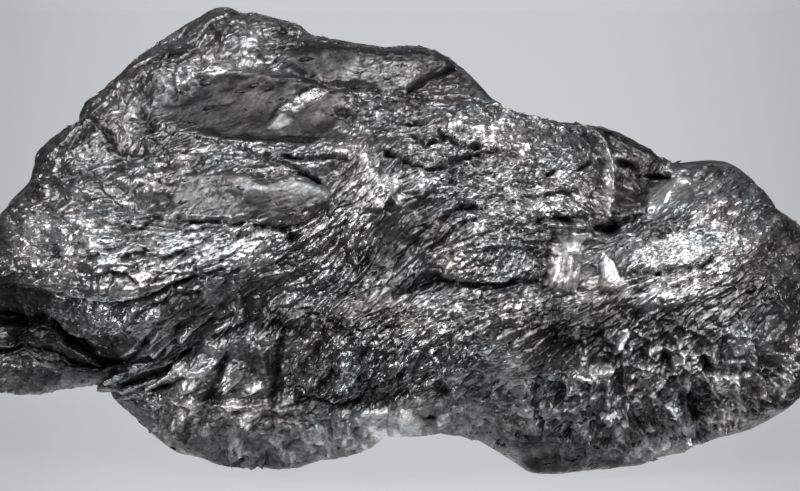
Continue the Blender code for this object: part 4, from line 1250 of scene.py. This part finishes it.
def character_at(x, y, facing, points, normals):
    """The surface's character at points, from the named regions, and from noise on the other sides."""
    values = {name: np.full(len(x), value) for name, value in PLAIN.items()}
    x, y = wandering(x, y, SEEDS["character"])
    # The regions' tones are painted light and painted shade.
    for (at_x, at_y, length, width, turn), change in REGIONS.values():
        share = smooth(-oval(x, y, at_x, at_y, length, width, turn), *REGION_EDGE)
        for name, value in change.items():
            values[name] += (value - values[name]) * share
    # Painted light and painted shade from the patches.
    for at_x, at_y, length, width, turn, factor in PAINTED_LIGHT_AND_SHADE_PATCHES.values():
        share = smooth(-oval(x, y, at_x, at_y, length, width, turn), *PLACE_EDGE)
        values["tone"] *= 1 + (factor - 1) * share
    # Painted shade in the named cracks and painted highlight on the named ridges.
    values["tone"] *= line_shade_and_highlight(x, y)
    patch = smooth(value_noise(points / MM / SIDE_PATCH_SIZE, SEEDS["side_patches"]), *SIDE_PATCH_RANGE)
    for name, pair in SIDES.items():
        values[name] = values[name] * facing + between(pair, patch) * (1 - facing)
    values["tone"] = np.minimum(values["tone"], PALEST)
    # Painted shade on the underside, darker the more it faces down.
    values["tone"] *= 1 - UNDERSIDE_SHADE * smooth(-normals[:, 2], *UNDERSIDE)
    return values


def stand_clear(points):
    """Keeps the underside on the ground, and the lump in its own box but for a small clearance."""
    low, high = np.array(CAD_BOX[0]), np.array(CAD_BOX[1])
    points[:, 2] = np.maximum(points[:, 2], 0.0)
    return np.clip(points, low - CLEARANCE, high + CLEARANCE)


def set_number(mesh, name, values):
    attribute = mesh.attributes.new(name, "FLOAT", "POINT")
    attribute.data.foreach_set("value", np.ascontiguousarray(values, dtype=np.float32))


def set_vector(mesh, name, values):
    attribute = mesh.attributes.new(name, "FLOAT_VECTOR", "POINT")
    attribute.data.foreach_set("vector", np.ascontiguousarray(values, dtype=np.float32).ravel())


def dense_mesh():
    """The lump's form in small faces, with still smaller ones on the broad face."""
    mesh = modified(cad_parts[NODE].data.copy(), "REMESH", mode="VOXEL", voxel_size=VOXEL)
    skin = Skin(mesh)
    skin.relax(FORM_SMOOTHING)
    skin.write(mesh)
    mesh = modified(mesh, "SUBSURF", subdivision_type="CATMULL_CLARK", levels=1)
    split_broad_face(mesh)
    return mesh


def relief(skin, x, y, facing, normals, maps, character, layers):
    """The height of the relief at the points, in millimetres. The relief's tone joins the character's."""
    height, tone = np.zeros(skin.count), np.ones(skin.count)
    ahead = facing > 0
    at = {name: values[ahead] for name, values in character.items()}
    front, front_tone = broad_face_relief(x[ahead], y[ahead], maps, at)
    height[ahead] = front * facing[ahead]
    tone[ahead] += (front_tone - 1) * facing[ahead]
    aside = facing < 1
    hidden = smooth(-facing_camera(skin.points[aside], normals[aside]), *HIDDEN)
    hidden = between((SEEN_ASIDE, 1), hidden)
    other, other_tone = other_relief(skin.points[aside], [values[aside] for values in layers], hidden)
    height[aside] += other * (1 - facing[aside])
    tone[aside] += (other_tone - 1) * (1 - facing[aside])
    character["tone"] *= tone
    return height * calm_outline(x, y)


def lump_skin():
    """The lump's surface with all its relief, and what is known at each of its points."""
    skin = Skin(dense_mesh())
    skin.relax(SPLIT_SMOOTHING)
    fit_outline(skin)
    normals = skin.normals()
    x, y, _ = picture(skin.points)
    facing = smooth(facing_camera(skin.points, normals), *FACING_BLEND)
    maps = grain_maps()
    character = character_at(x, y, facing, skin.points, normals)
    layers = bedding(skin.points)
    height = relief(skin, x, y, facing, normals, maps, character, layers)
    # Painted shade in the hollows and painted highlight on the crests of the relief.
    around = height
    for _ in range(CREST_ROUNDS):
        around = skin.neighbour_mean(around)
    character["tone"] *= np.clip(1 + CREST_PAINTED_LIGHT_PER_MM * (height - around), *CREST_PAINTED_LIGHT_LIMITS)
    height *= smooth(skin.points[:, 2], 0.0, GROUND_FADE)
    skin.points += normals * (height * MM)[:, None]
    fit_outline(skin)
    skin.points = stand_clear(skin.points)
    across, along = on_grid(maps[0], x, y), on_grid(maps[1], x, y)
    known = {name: character[name] for name in NUMBERS if name != "facing"}
    known["facing"] = facing
    known["front_grain"] = np.column_stack((across, along, np.zeros_like(across))) * PIXEL_MM
    known["other_grain"] = np.column_stack(layers)
    return skin, known


def shares_of_surface(skin, facing):
    """Sets of faces of no more than so many triangles: the broad face's, then the others', from the left."""
    first = skin.corners[skin.starts]
    ahead = facing[first] > 0.5
    for side in (ahead, ~ahead):
        chosen = np.flatnonzero(side)
        chosen = chosen[np.argsort(skin.points[first[chosen], 0], kind="stable")]
        so_far = (skin.sizes[chosen] - 2).cumsum()
        parts = math.ceil(so_far[-1] / PIECE_TRIANGLES)
        part = ((so_far - 1) * parts) // so_far[-1]
        for number in range(parts):
            yield chosen[part == number]


def make_surface(skin, known):
    """The lump's surface as a few pieces that meet edge to edge. Their normals run on across the seams."""
    normals = skin.normals()
    objects = []
    for chosen in shares_of_surface(skin, known["facing"]):
        sizes = skin.sizes[chosen]
        starts = np.concatenate(([0], sizes.cumsum()[:-1]))
        picked = skin.corners[np.repeat(skin.starts[chosen] - starts, sizes) + np.arange(sizes.sum())]
        used, corners_now = np.unique(picked, return_inverse=True)
        name = f"graphite_surface_{len(objects) + 1}"
        mesh = mesh_of(name, skin.points[used], corners_now, starts)
        mesh.shade_smooth()
        mesh.normals_split_custom_set_from_vertices(normals[used].tolist())
        for key in NUMBERS:
            set_number(mesh, key, known[key][used])
        for key in VECTORS:
            set_vector(mesh, key, known[key][used])
        objects.append(linked(name, mesh))
    return objects


# ------------------------------------------------------------------------------------------------ the flakes

# Flakes: the corners of a rim, their reach as shares of half the flake's size, and how much further its two
# points reach. The number of flakes, their lengths and thickness in millimetres, widths as shares of the
# length, the spread of their angles in degrees, how many of them are small, how much thickness and tone
# vary, how deep a tilted one sits as a share of its width, and how far a flake's fine pattern is from its
# neighbours'. Then how many times as densely they lie on the broad face, and the lowest place for one.
RIM = 6
RIM_REACH = (0.72, 1.08)
RIM_POINT = 0.25
FLAKE_COUNT = 5000
FLAKE_LENGTH = (0.34, 1.25)
FLAKE_ASPECT = (0.28, 0.62)
FLAKE_THICKNESS = 0.035
FLAKE_SWING = 14.0
FLAKE_ROLL = 13.0
FLAKE_PITCH = 7.0
FLAKE_SIZES_POWER = 2.2
FLAKE_THICKNESSES = (0.6, 1.4)
FLAKE_TONES = (0.75, 1.25)
FLAKE_SUNK = 0.15
FLAKE_PATTERN_SHIFT = 40.0
FRONT_SHARE = 2.6
LOWEST_FLAKE = 0.3 * MM
SLOPE_STEP = 0.05 * MM


def grain_direction(points, normals, facing, x, y):
    """The grain as a direction in space on the surface."""
    angle = grain_angle(x, y)
    front = np.outer(np.cos(angle), RIGHT) + np.outer(np.sin(angle), UP)
    slope = []
    for step in SLOPE_STEP * np.eye(3):
        slope.append(bedding(points + step)[0] - bedding(points - step)[0])
    other = np.cross(unit(np.column_stack(slope)), normals)
    other *= np.sign(other[:, :1] + 1e-9)
    blended = front * facing[:, None] + unit(other) * (1 - facing)[:, None]
    blended -= normals * (blended * normals).sum(axis=1)[:, None]
    return unit(blended)


def scatter(skin, known, random):
    """Random places on the surface, dense where the grain says: triangles, and shares of their corners."""
    a, b, c = (skin.points[skin.triangles[:, k]] for k in range(3))
    area = np.linalg.norm(np.cross(b - a, c - a), axis=1)
    at_corners = (known["grain"], known["facing"], skin.points[:, 2])
    grain, facing, level = (values[skin.triangles].mean(axis=1) for values in at_corners)
    chance = area * grain * between((1, FRONT_SHARE), facing) * (level > LOWEST_FLAKE)
    face = random.choice(len(area), FLAKE_COUNT, p=chance / chance.sum())
    u, v = random.random(FLAKE_COUNT), random.random(FLAKE_COUNT)
    flip = u + v > 1
    u[flip], v[flip] = 1 - u[flip], 1 - v[flip]
    return skin.triangles[face], np.column_stack((1 - u - v, u, v))


def blend_corners(values, corner_indices, shares):
    """Numbers or vectors between three points, from the shares of the three."""
    picked = values[corner_indices]
    if picked.ndim == 3:
        return (picked * shares[:, :, None]).sum(axis=1)
    return (picked * shares).sum(axis=1)


def lens_plates(centre, long_axis, short_axis, normal, length, width, thickness, random):
    """Thin closed plates with six-sided uneven rims, one for each centre, as points and triangles."""
    count = len(centre)
    turn = np.arange(RIM) / RIM * 2 * np.pi
    reach = between(RIM_REACH, random.random((count, RIM)))
    reach[:, 0] += RIM_POINT
    reach[:, RIM // 2] += RIM_POINT
    out = (length / 2)[:, None] * reach * np.cos(turn)
    side = (width / 2)[:, None] * reach * np.sin(turn)
    rim = centre[:, None] + out[..., None] * long_axis[:, None] + side[..., None] * short_axis[:, None]
    top = centre + normal * thickness[:, None]
    bottom = centre - normal * thickness[:, None]
    points = np.concatenate([rim, top[:, None], bottom[:, None]], axis=1)
    following = (np.arange(RIM) + 1) % RIM
    upper = np.column_stack((np.arange(RIM), following, np.full(RIM, RIM)))
    lower = np.column_stack((following, np.arange(RIM), np.full(RIM, RIM + 1)))
    triangles = np.concatenate([upper, lower])[None] + (np.arange(count) * (RIM + 2))[:, None, None]
    return points.reshape(-1, 3), triangles.reshape(-1, 3)


def mesh_of(name, points, corners_used, starts):
    """A mesh from its points, the corners of its faces one after another, and where each face starts."""
    mesh = bpy.data.meshes.new(name)
    mesh.vertices.add(len(points))
    mesh.vertices.foreach_set("co", points.ravel())
    mesh.loops.add(len(corners_used))
    mesh.loops.foreach_set("vertex_index", corners_used.astype(np.int32))
    mesh.polygons.add(len(starts))
    mesh.polygons.foreach_set("loop_start", starts.astype(np.int32))
    mesh.update(calc_edges=True)
    mesh.validate()
    return mesh


def piece_of(name, points, triangles, known, each):
    """An object of many small closed shapes of each so many points, with what is known at each shape."""
    mesh = mesh_of(name, stand_clear(points), triangles.ravel(), np.arange(0, triangles.size, 3))
    for key in NUMBERS:
        set_number(mesh, key, np.repeat(known[key], each))
    for key in VECTORS:
        set_vector(mesh, key, np.repeat(known[key], each, axis=0))
    return linked(name, mesh)


def turned_axes(random, long_axis, normal):
    """Axes for flakes that lie nearly flat along the grain: long, short and upright, and each one's roll."""
    count = len(normal)
    swing = np.radians(random.normal(0, FLAKE_SWING, count))
    short_axis = np.cross(normal, long_axis)
    long_axis, short_axis = (
        long_axis * np.cos(swing)[:, None] + short_axis * np.sin(swing)[:, None],
        short_axis * np.cos(swing)[:, None] - long_axis * np.sin(swing)[:, None],
    )
    roll = np.radians(random.normal(0, FLAKE_ROLL, count))
    pitch = np.radians(random.normal(0, FLAKE_PITCH, count))
    rolled_short = short_axis * np.cos(roll)[:, None] + normal * np.sin(roll)[:, None]
    rolled_normal = normal * np.cos(roll)[:, None] - short_axis * np.sin(roll)[:, None]
    pitched_long = long_axis * np.cos(pitch)[:, None] + rolled_normal * np.sin(pitch)[:, None]
    return pitched_long, rolled_short, np.cross(pitched_long, rolled_short), roll


def make_flakes(skin, known):
    """Flakes all over the lump, in one joined mesh."""
    random = np.random.default_rng(SEEDS["flakes"])
    indices, shares = scatter(skin, known, random)
    centre = blend_corners(skin.points, indices, shares)
    normal = unit(blend_corners(skin.normals(), indices, shares))
    at = {name: blend_corners(values, indices, shares) for name, values in known.items()}
    x, y, _ = picture(centre)
    long_axis = grain_direction(centre, normal, at["facing"], x, y)
    long_axis, short_axis, upright, roll = turned_axes(random, long_axis, normal)
    count = len(centre)
    length = between(FLAKE_LENGTH, random.random(count) ** FLAKE_SIZES_POWER) * MM
    width = length * between(FLAKE_ASPECT, random.random(count))
    thickness = FLAKE_THICKNESS * MM * between(FLAKE_THICKNESSES, random.random(count))
    centre = centre - normal * (FLAKE_SUNK * width * np.abs(np.sin(roll)))[:, None]
    at["tone"] = at["tone"] * between(FLAKE_TONES, random.random(count))
    for name in VECTORS:
        at[name] = at[name] + random.normal(0, FLAKE_PATTERN_SHIFT, (count, 3))
    points, triangles = lens_plates(centre, long_axis, short_axis, upright, length, width, thickness, random)
    return piece_of("flakes_1", points, triangles, at, RIM + 2)


# -------------------------------------------------------------------------------------------- the materials


class Nodes:
    """A short way to build a material's nodes."""

    def __init__(self, name):
        self.material = bpy.data.materials.new(name)
        self.material.use_nodes = True
        self.tree = self.material.node_tree
        self.shader = self.tree.nodes["Principled BSDF"]

    def add(self, kind, inputs=(), **settings):
        node = self.tree.nodes.new(kind)
        for name, value in settings.items():
            setattr(node, name, value)
        for name, value in dict(inputs).items():
            self.put(node.inputs[name], value)
        return node

    def put(self, socket, value):
        if isinstance(value, bpy.types.NodeSocket):
            self.tree.links.new(value, socket)
        else:
            socket.default_value = value

    def math(self, operation, a, b=0.0):
        return self.add("ShaderNodeMath", {0: a, 1: b}, operation=operation).outputs[0]

    def vector(self, operation, a, b=(0, 0, 0)):
        return self.add("ShaderNodeVectorMath", {0: a, 1: b}, operation=operation).outputs[0]

    def attribute(self, name):
        return self.add("ShaderNodeAttribute", attribute_name=name)

    def noise(self, vector, scale, detail=2.0):
        inputs = {"Vector": vector, "Scale": scale, "Detail": detail, "Roughness": 0.5}
        return self.add("ShaderNodeTexNoise", inputs).outputs["Fac"]

    def blend(self, share, a, b):
        node = self.add("ShaderNodeMix", data_type="FLOAT")
        for socket, value in zip((node.inputs[0], node.inputs[2], node.inputs[3]), (share, a, b)):
            self.put(socket, value)
        return node.outputs[0]

    def blend_colour(self, share, a, b, kind="MIX"):
        node = self.add("ShaderNodeMix", data_type="RGBA", blend_type=kind)
        for socket, value in zip((node.inputs[0], node.inputs[6], node.inputs[7]), (share, a, b)):
            self.put(socket, value)
        return node.outputs[2]

    def ramp(self, value, low, high, to_low=0.0, to_high=1.0):
        inputs = {"Value": value, "From Min": low, "From Max": high, "To Min": to_low, "To Max": to_high}
        return self.add("ShaderNodeMapRange", inputs).outputs[0]


def grain_texture(nodes, size):
    """Noise drawn out along the grain, the same on the broad face and elsewhere, size in millimetres."""
    across, along = size
    stretch = (1 / across, 1 / along, 1 / along)
    front = nodes.vector("MULTIPLY", nodes.attribute("front_grain").outputs["Vector"], stretch)
    other = nodes.vector("MULTIPLY", nodes.attribute("other_grain").outputs["Vector"], stretch)
    facing = nodes.attribute("facing").outputs["Fac"]
    return nodes.blend(facing, nodes.noise(other, 1.0), nodes.noise(front, 1.0))


# The graphite's colours, the sizes of its streaks across and along the grain in millimetres, and the scales
# of its noises for each metre. Most of a noise lies within NOISE_RANGE.
COOL = (0.262, 0.278, 0.282, 1.0)
WARM = (0.302, 0.290, 0.280, 1.0)
METALLIC = 0.92
FINE_STREAKS = (0.17, 1.7)
FINER_STREAKS = (0.08, 0.5)
GRIT_SCALE = 4200.0
BROAD_SCALE = 180.0
HUE_SCALE = 260.0
HUE_RANGE = (0.38, 0.66)
NOISE_RANGE = (0.3, 0.7)

# What the noises and the facets do: shares of the tone, what is added to the roughness and the least that it
# is, the finer streaks' share of the bumps and how deep the bumps are. The facets' flecks are painted glints:
# where the grain is dense, some facets are painted much paler and others a little darker.
STREAK_TONES = (0.62, 1.38)
GRIT_TONES = (0.66, 1.34)
BROAD_TONES = (0.8, 1.2)
PAINTED_GLINT_RANGE = (0.45, 1.0)
PAINTED_GLINT_TONES = (-0.28, 1.10)
ROUGHER = (-0.08, 0.1)
LEAST_ROUGH = 0.12
FINER_SHARE = 0.15
BUMP_DISTANCE = 0.12 * MM


def shade_graphite(nodes, detail, place, chance):
    """The base colour: cool and warm greys, by the tone, the fine detail, broad patches and bright flecks.

    The tone holds painted light and shade, and the bright flecks are painted glints.
    """
    broad = nodes.noise(place, BROAD_SCALE, 3.0)
    hue = nodes.noise(place, HUE_SCALE)
    base = nodes.blend_colour(nodes.ramp(hue, *HUE_RANGE), COOL, WARM)
    grain = nodes.attribute("grain").outputs["Fac"]
    # Painted glints: bright flecks on some facets, where the grain is dense.
    painted_glint = nodes.math("MULTIPLY", nodes.ramp(chance, *PAINTED_GLINT_RANGE, *PAINTED_GLINT_TONES), grain)
    variation = nodes.math("MULTIPLY", detail, nodes.ramp(broad, *NOISE_RANGE, *BROAD_TONES))
    variation = nodes.math("MULTIPLY", variation, nodes.math("ADD", painted_glint, 1.0))
    strength = nodes.math("MULTIPLY", variation, nodes.attribute("tone").outputs["Fac"])
    parts = {"Red": strength, "Green": strength, "Blue": strength}
    grey = nodes.add("ShaderNodeCombineColor", parts).outputs[0]
    nodes.put(nodes.shader.inputs["Base Color"], nodes.blend_colour(1.0, base, grey, "MULTIPLY"))


def graphite(name, bump_strength, glitter):
    """Graphite: a dark grey metal with fine streaks along the grain, grit and small mirror facets.

    glitter is the facets' number for each metre and how far they tilt.
    """
    nodes = Nodes(name)
    rough = nodes.attribute("rough").outputs["Fac"]
    streak = nodes.attribute("streak").outputs["Fac"]
    place = nodes.add("ShaderNodeTexCoord").outputs["Object"]
    fine = grain_texture(nodes, FINE_STREAKS)
    finer = grain_texture(nodes, FINER_STREAKS)
    grit = nodes.noise(place, GRIT_SCALE)
    voronoi = {"Vector": place, "Scale": glitter[0], "Randomness": 1.0}
    facets = nodes.add("ShaderNodeTexVoronoi", voronoi, feature="F1").outputs["Color"]
    chance = nodes.add("ShaderNodeSeparateColor", {"Color": facets}).outputs["Green"]
    grit_tone = nodes.ramp(grit, *NOISE_RANGE, *GRIT_TONES)
    streak_tone = nodes.ramp(fine, *NOISE_RANGE, *STREAK_TONES)
    shade_graphite(nodes, nodes.blend(streak, grit_tone, streak_tone), place, chance)
    nodes.shader.inputs["Metallic"].default_value = METALLIC

    roughness = nodes.math("ADD", rough, nodes.ramp(finer, *NOISE_RANGE, *ROUGHER))
    nodes.put(nodes.shader.inputs["Roughness"], nodes.math("MAXIMUM", roughness, LEAST_ROUGH))

    tilt = nodes.vector("SUBTRACT", facets, (0.5, 0.5, 0.5))
    tilt = nodes.vector("MULTIPLY", tilt, (glitter[1],) * 3)
    tilt = nodes.vector("MULTIPLY", tilt, nodes.attribute("grain").outputs["Vector"])
    height = nodes.math("ADD", nodes.blend(streak, grit, fine), nodes.math("MULTIPLY", finer, FINER_SHARE))
    inputs = {"Height": height, "Strength": bump_strength, "Distance": BUMP_DISTANCE}
    bump = nodes.add("ShaderNodeBump", inputs).outputs["Normal"]
    nodes.put(nodes.shader.inputs["Normal"], nodes.vector("NORMALIZE", nodes.vector("ADD", bump, tilt)))
    return nodes.material


# ------------------------------------------------------------------------------------------------ the stage

# The floor's own tone and its light, the share of that light at its sides, and where it falls off: in a
# wedge that starts so many metres in front of the lump and spreads sideways by so much for each metre.
FLOOR_TONE = (0.10, 0.10, 0.10, 1.0)
FLOOR_GLOW = (0.540, 0.560, 0.580, 1.0)
FLOOR_EDGE = 0.74
FLOOR_START = 0.27
FLOOR_SPREAD = 0.128


def pale_material():
    """A pale ground with light in it, as a light table has, so that hardly a shadow shows."""
    nodes = Nodes("pale_ground")
    place = nodes.add("ShaderNodeTexCoord").outputs["Object"]
    parts = nodes.add("ShaderNodeSeparateXYZ", {"Vector": place}).outputs
    away = nodes.math("ADD", nodes.math("ABSOLUTE", parts["Y"]), FLOOR_START)
    spread = nodes.math("DIVIDE", parts["X"], away)
    inputs = {"Value": nodes.math("MULTIPLY", spread, spread), "From Max": FLOOR_SPREAD**2}
    aside = nodes.add("ShaderNodeMapRange", inputs, interpolation_type="SMOOTHSTEP").outputs[0]
    dimmer = tuple(FLOOR_EDGE * c for c in FLOOR_GLOW[:3]) + (1.0,)
    nodes.shader.inputs["Base Color"].default_value = FLOOR_TONE
    nodes.put(nodes.shader.inputs["Emission Color"], nodes.blend_colour(aside, FLOOR_GLOW, dimmer))
    nodes.shader.inputs["Emission Strength"].default_value = 1.0
    nodes.shader.inputs["Roughness"].default_value = 0.8
    return nodes.material


def make_floor():
    """A pale sheet: flat under the lump and swept up behind it."""
    half_width, front, behind, radius, top = 1.2, -0.9, 0.45, 0.35, 0.9
    first_turn, turns = 0.1, 12
    profile = [(front, 0.0), (behind, 0.0)]
    for angle in np.linspace(first_turn, math.pi / 2, turns):
        profile.append((behind + radius * math.sin(angle), radius * (1 - math.cos(angle))))
    profile.append((behind + radius, top))
    points = [(side * half_width, y, z) for y, z in profile for side in (-1, 1)]
    faces = [(2 * k, 2 * k + 1, 2 * k + 3, 2 * k + 2) for k in range(len(profile) - 1)]
    mesh = bpy.data.meshes.new("floor")
    mesh.from_pydata(points, [], faces)
    mesh.shade_smooth()
    mesh.materials.append(pale_material())
    return linked("floor", mesh)


# The black dish's rings: half length, half width and height in metres.
CARD_RINGS = [(0.0345, 0.0175, 0.0004), (0.70, 0.70, 0.0004), (0.74, 0.74, 0.45)]
CARD_SIDES = 64
CARD_TONE = (0.01, 0.01, 0.01, 1.0)


def make_dark_card():
    """A black dish round the lump, which the camera doesn't see. It keeps the flanks and the rim dark."""
    turns = [2 * math.pi * k / CARD_SIDES for k in range(CARD_SIDES)]
    points = [(a * math.cos(turn), b * math.sin(turn), z) for a, b, z in CARD_RINGS for turn in turns]
    following = [(k + 1) % CARD_SIDES for k in range(CARD_SIDES)]
    faces = []
    for start in range(0, CARD_SIDES * (len(CARD_RINGS) - 1), CARD_SIDES):
        for k, n in enumerate(following):
            faces.append((start + k, start + n, start + CARD_SIDES + n, start + CARD_SIDES + k))
    mesh = bpy.data.meshes.new("dark_card")
    mesh.from_pydata(points, [], faces)
    nodes = Nodes("dark_card")
    nodes.shader.inputs["Base Color"].default_value = CARD_TONE
    nodes.shader.inputs["Roughness"].default_value = 0.9
    mesh.materials.append(nodes.material)
    card = linked("dark_card", mesh)
    card.visible_camera = card.visible_diffuse = card.visible_shadow = False
    return card


# Lights: name: (place, aimed at, width, height, power in watts), lengths in metres. The world's faint light.
LIGHTS = {
    "top": ((0.0, -0.22, 0.46), (0.0, 0.0, 0.02), 0.85, 0.46, 1.15),
    "high_front": ((0.05, -0.36, 0.36), (0.0, 0.0, 0.018), 0.26, 0.18, 1.00),
    "front_left": ((-0.40, -0.36, 0.20), (0.0, 0.0, 0.018), 0.14, 0.20, 0.75),
    "front": ((0.20, -0.52, 0.09), (0.0, 0.0, 0.015), 0.10, 0.10, 0.35),
    "right": ((0.50, -0.16, 0.20), (0.0, 0.0, 0.015), 0.14, 0.18, 0.40),
}
WORLD_TONE = (0.93, 0.96, 1.0, 1.0)
WORLD_STRENGTH = 0.01


def aim(obj, place, target):
    obj.location = place
    obj.rotation_euler = (Vector(target) - Vector(place)).to_track_quat("-Z", "Y").to_euler()


def make_lights():
    for name, (place, target, width, height, power) in LIGHTS.items():
        light = bpy.data.lights.new(name, "AREA")
        light.shape = "RECTANGLE"
        light.size, light.size_y, light.energy = width, height, power
        obj = bpy.data.objects.new(name, light)
        bpy.context.scene.collection.objects.link(obj)
        aim(obj, place, target)
    world = bpy.data.worlds.new("studio")
    world.use_nodes = True
    background = world.node_tree.nodes["Background"]
    background.inputs["Color"].default_value = WORLD_TONE
    background.inputs["Strength"].default_value = WORLD_STRENGTH
    bpy.context.scene.world = world


def make_camera():
    camera = bpy.data.cameras.new("camera")
    camera.lens, camera.sensor_width = LENS, SENSOR
    camera.clip_start, camera.clip_end = 0.01, 20.0
    obj = bpy.data.objects.new("camera", camera)
    bpy.context.scene.collection.objects.link(obj)
    aim(obj, EYE, AIM)
    bpy.context.scene.camera = obj


# --------------------------------------------------------------------------------------------------- making


def main():
    skin, known = lump_skin()
    surface, flakes = make_surface(skin, known), make_flakes(skin, known)
    surface_material = graphite("graphite_surface", bump_strength=0.5, glitter=(3300.0, 0.50))
    flake_material = graphite("graphite_flake", bump_strength=0.35, glitter=(3000.0, 0.12))
    for piece in surface:
        piece.data.materials.append(surface_material)
    flakes.data.materials.append(flake_material)
    for piece in surface + [flakes]:
        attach(piece, "root")
        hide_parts(NODE)
    make_floor()
    make_dark_card()
    make_lights()
    make_camera()
    bpy.context.scene.view_settings.view_transform = "Standard"


main()
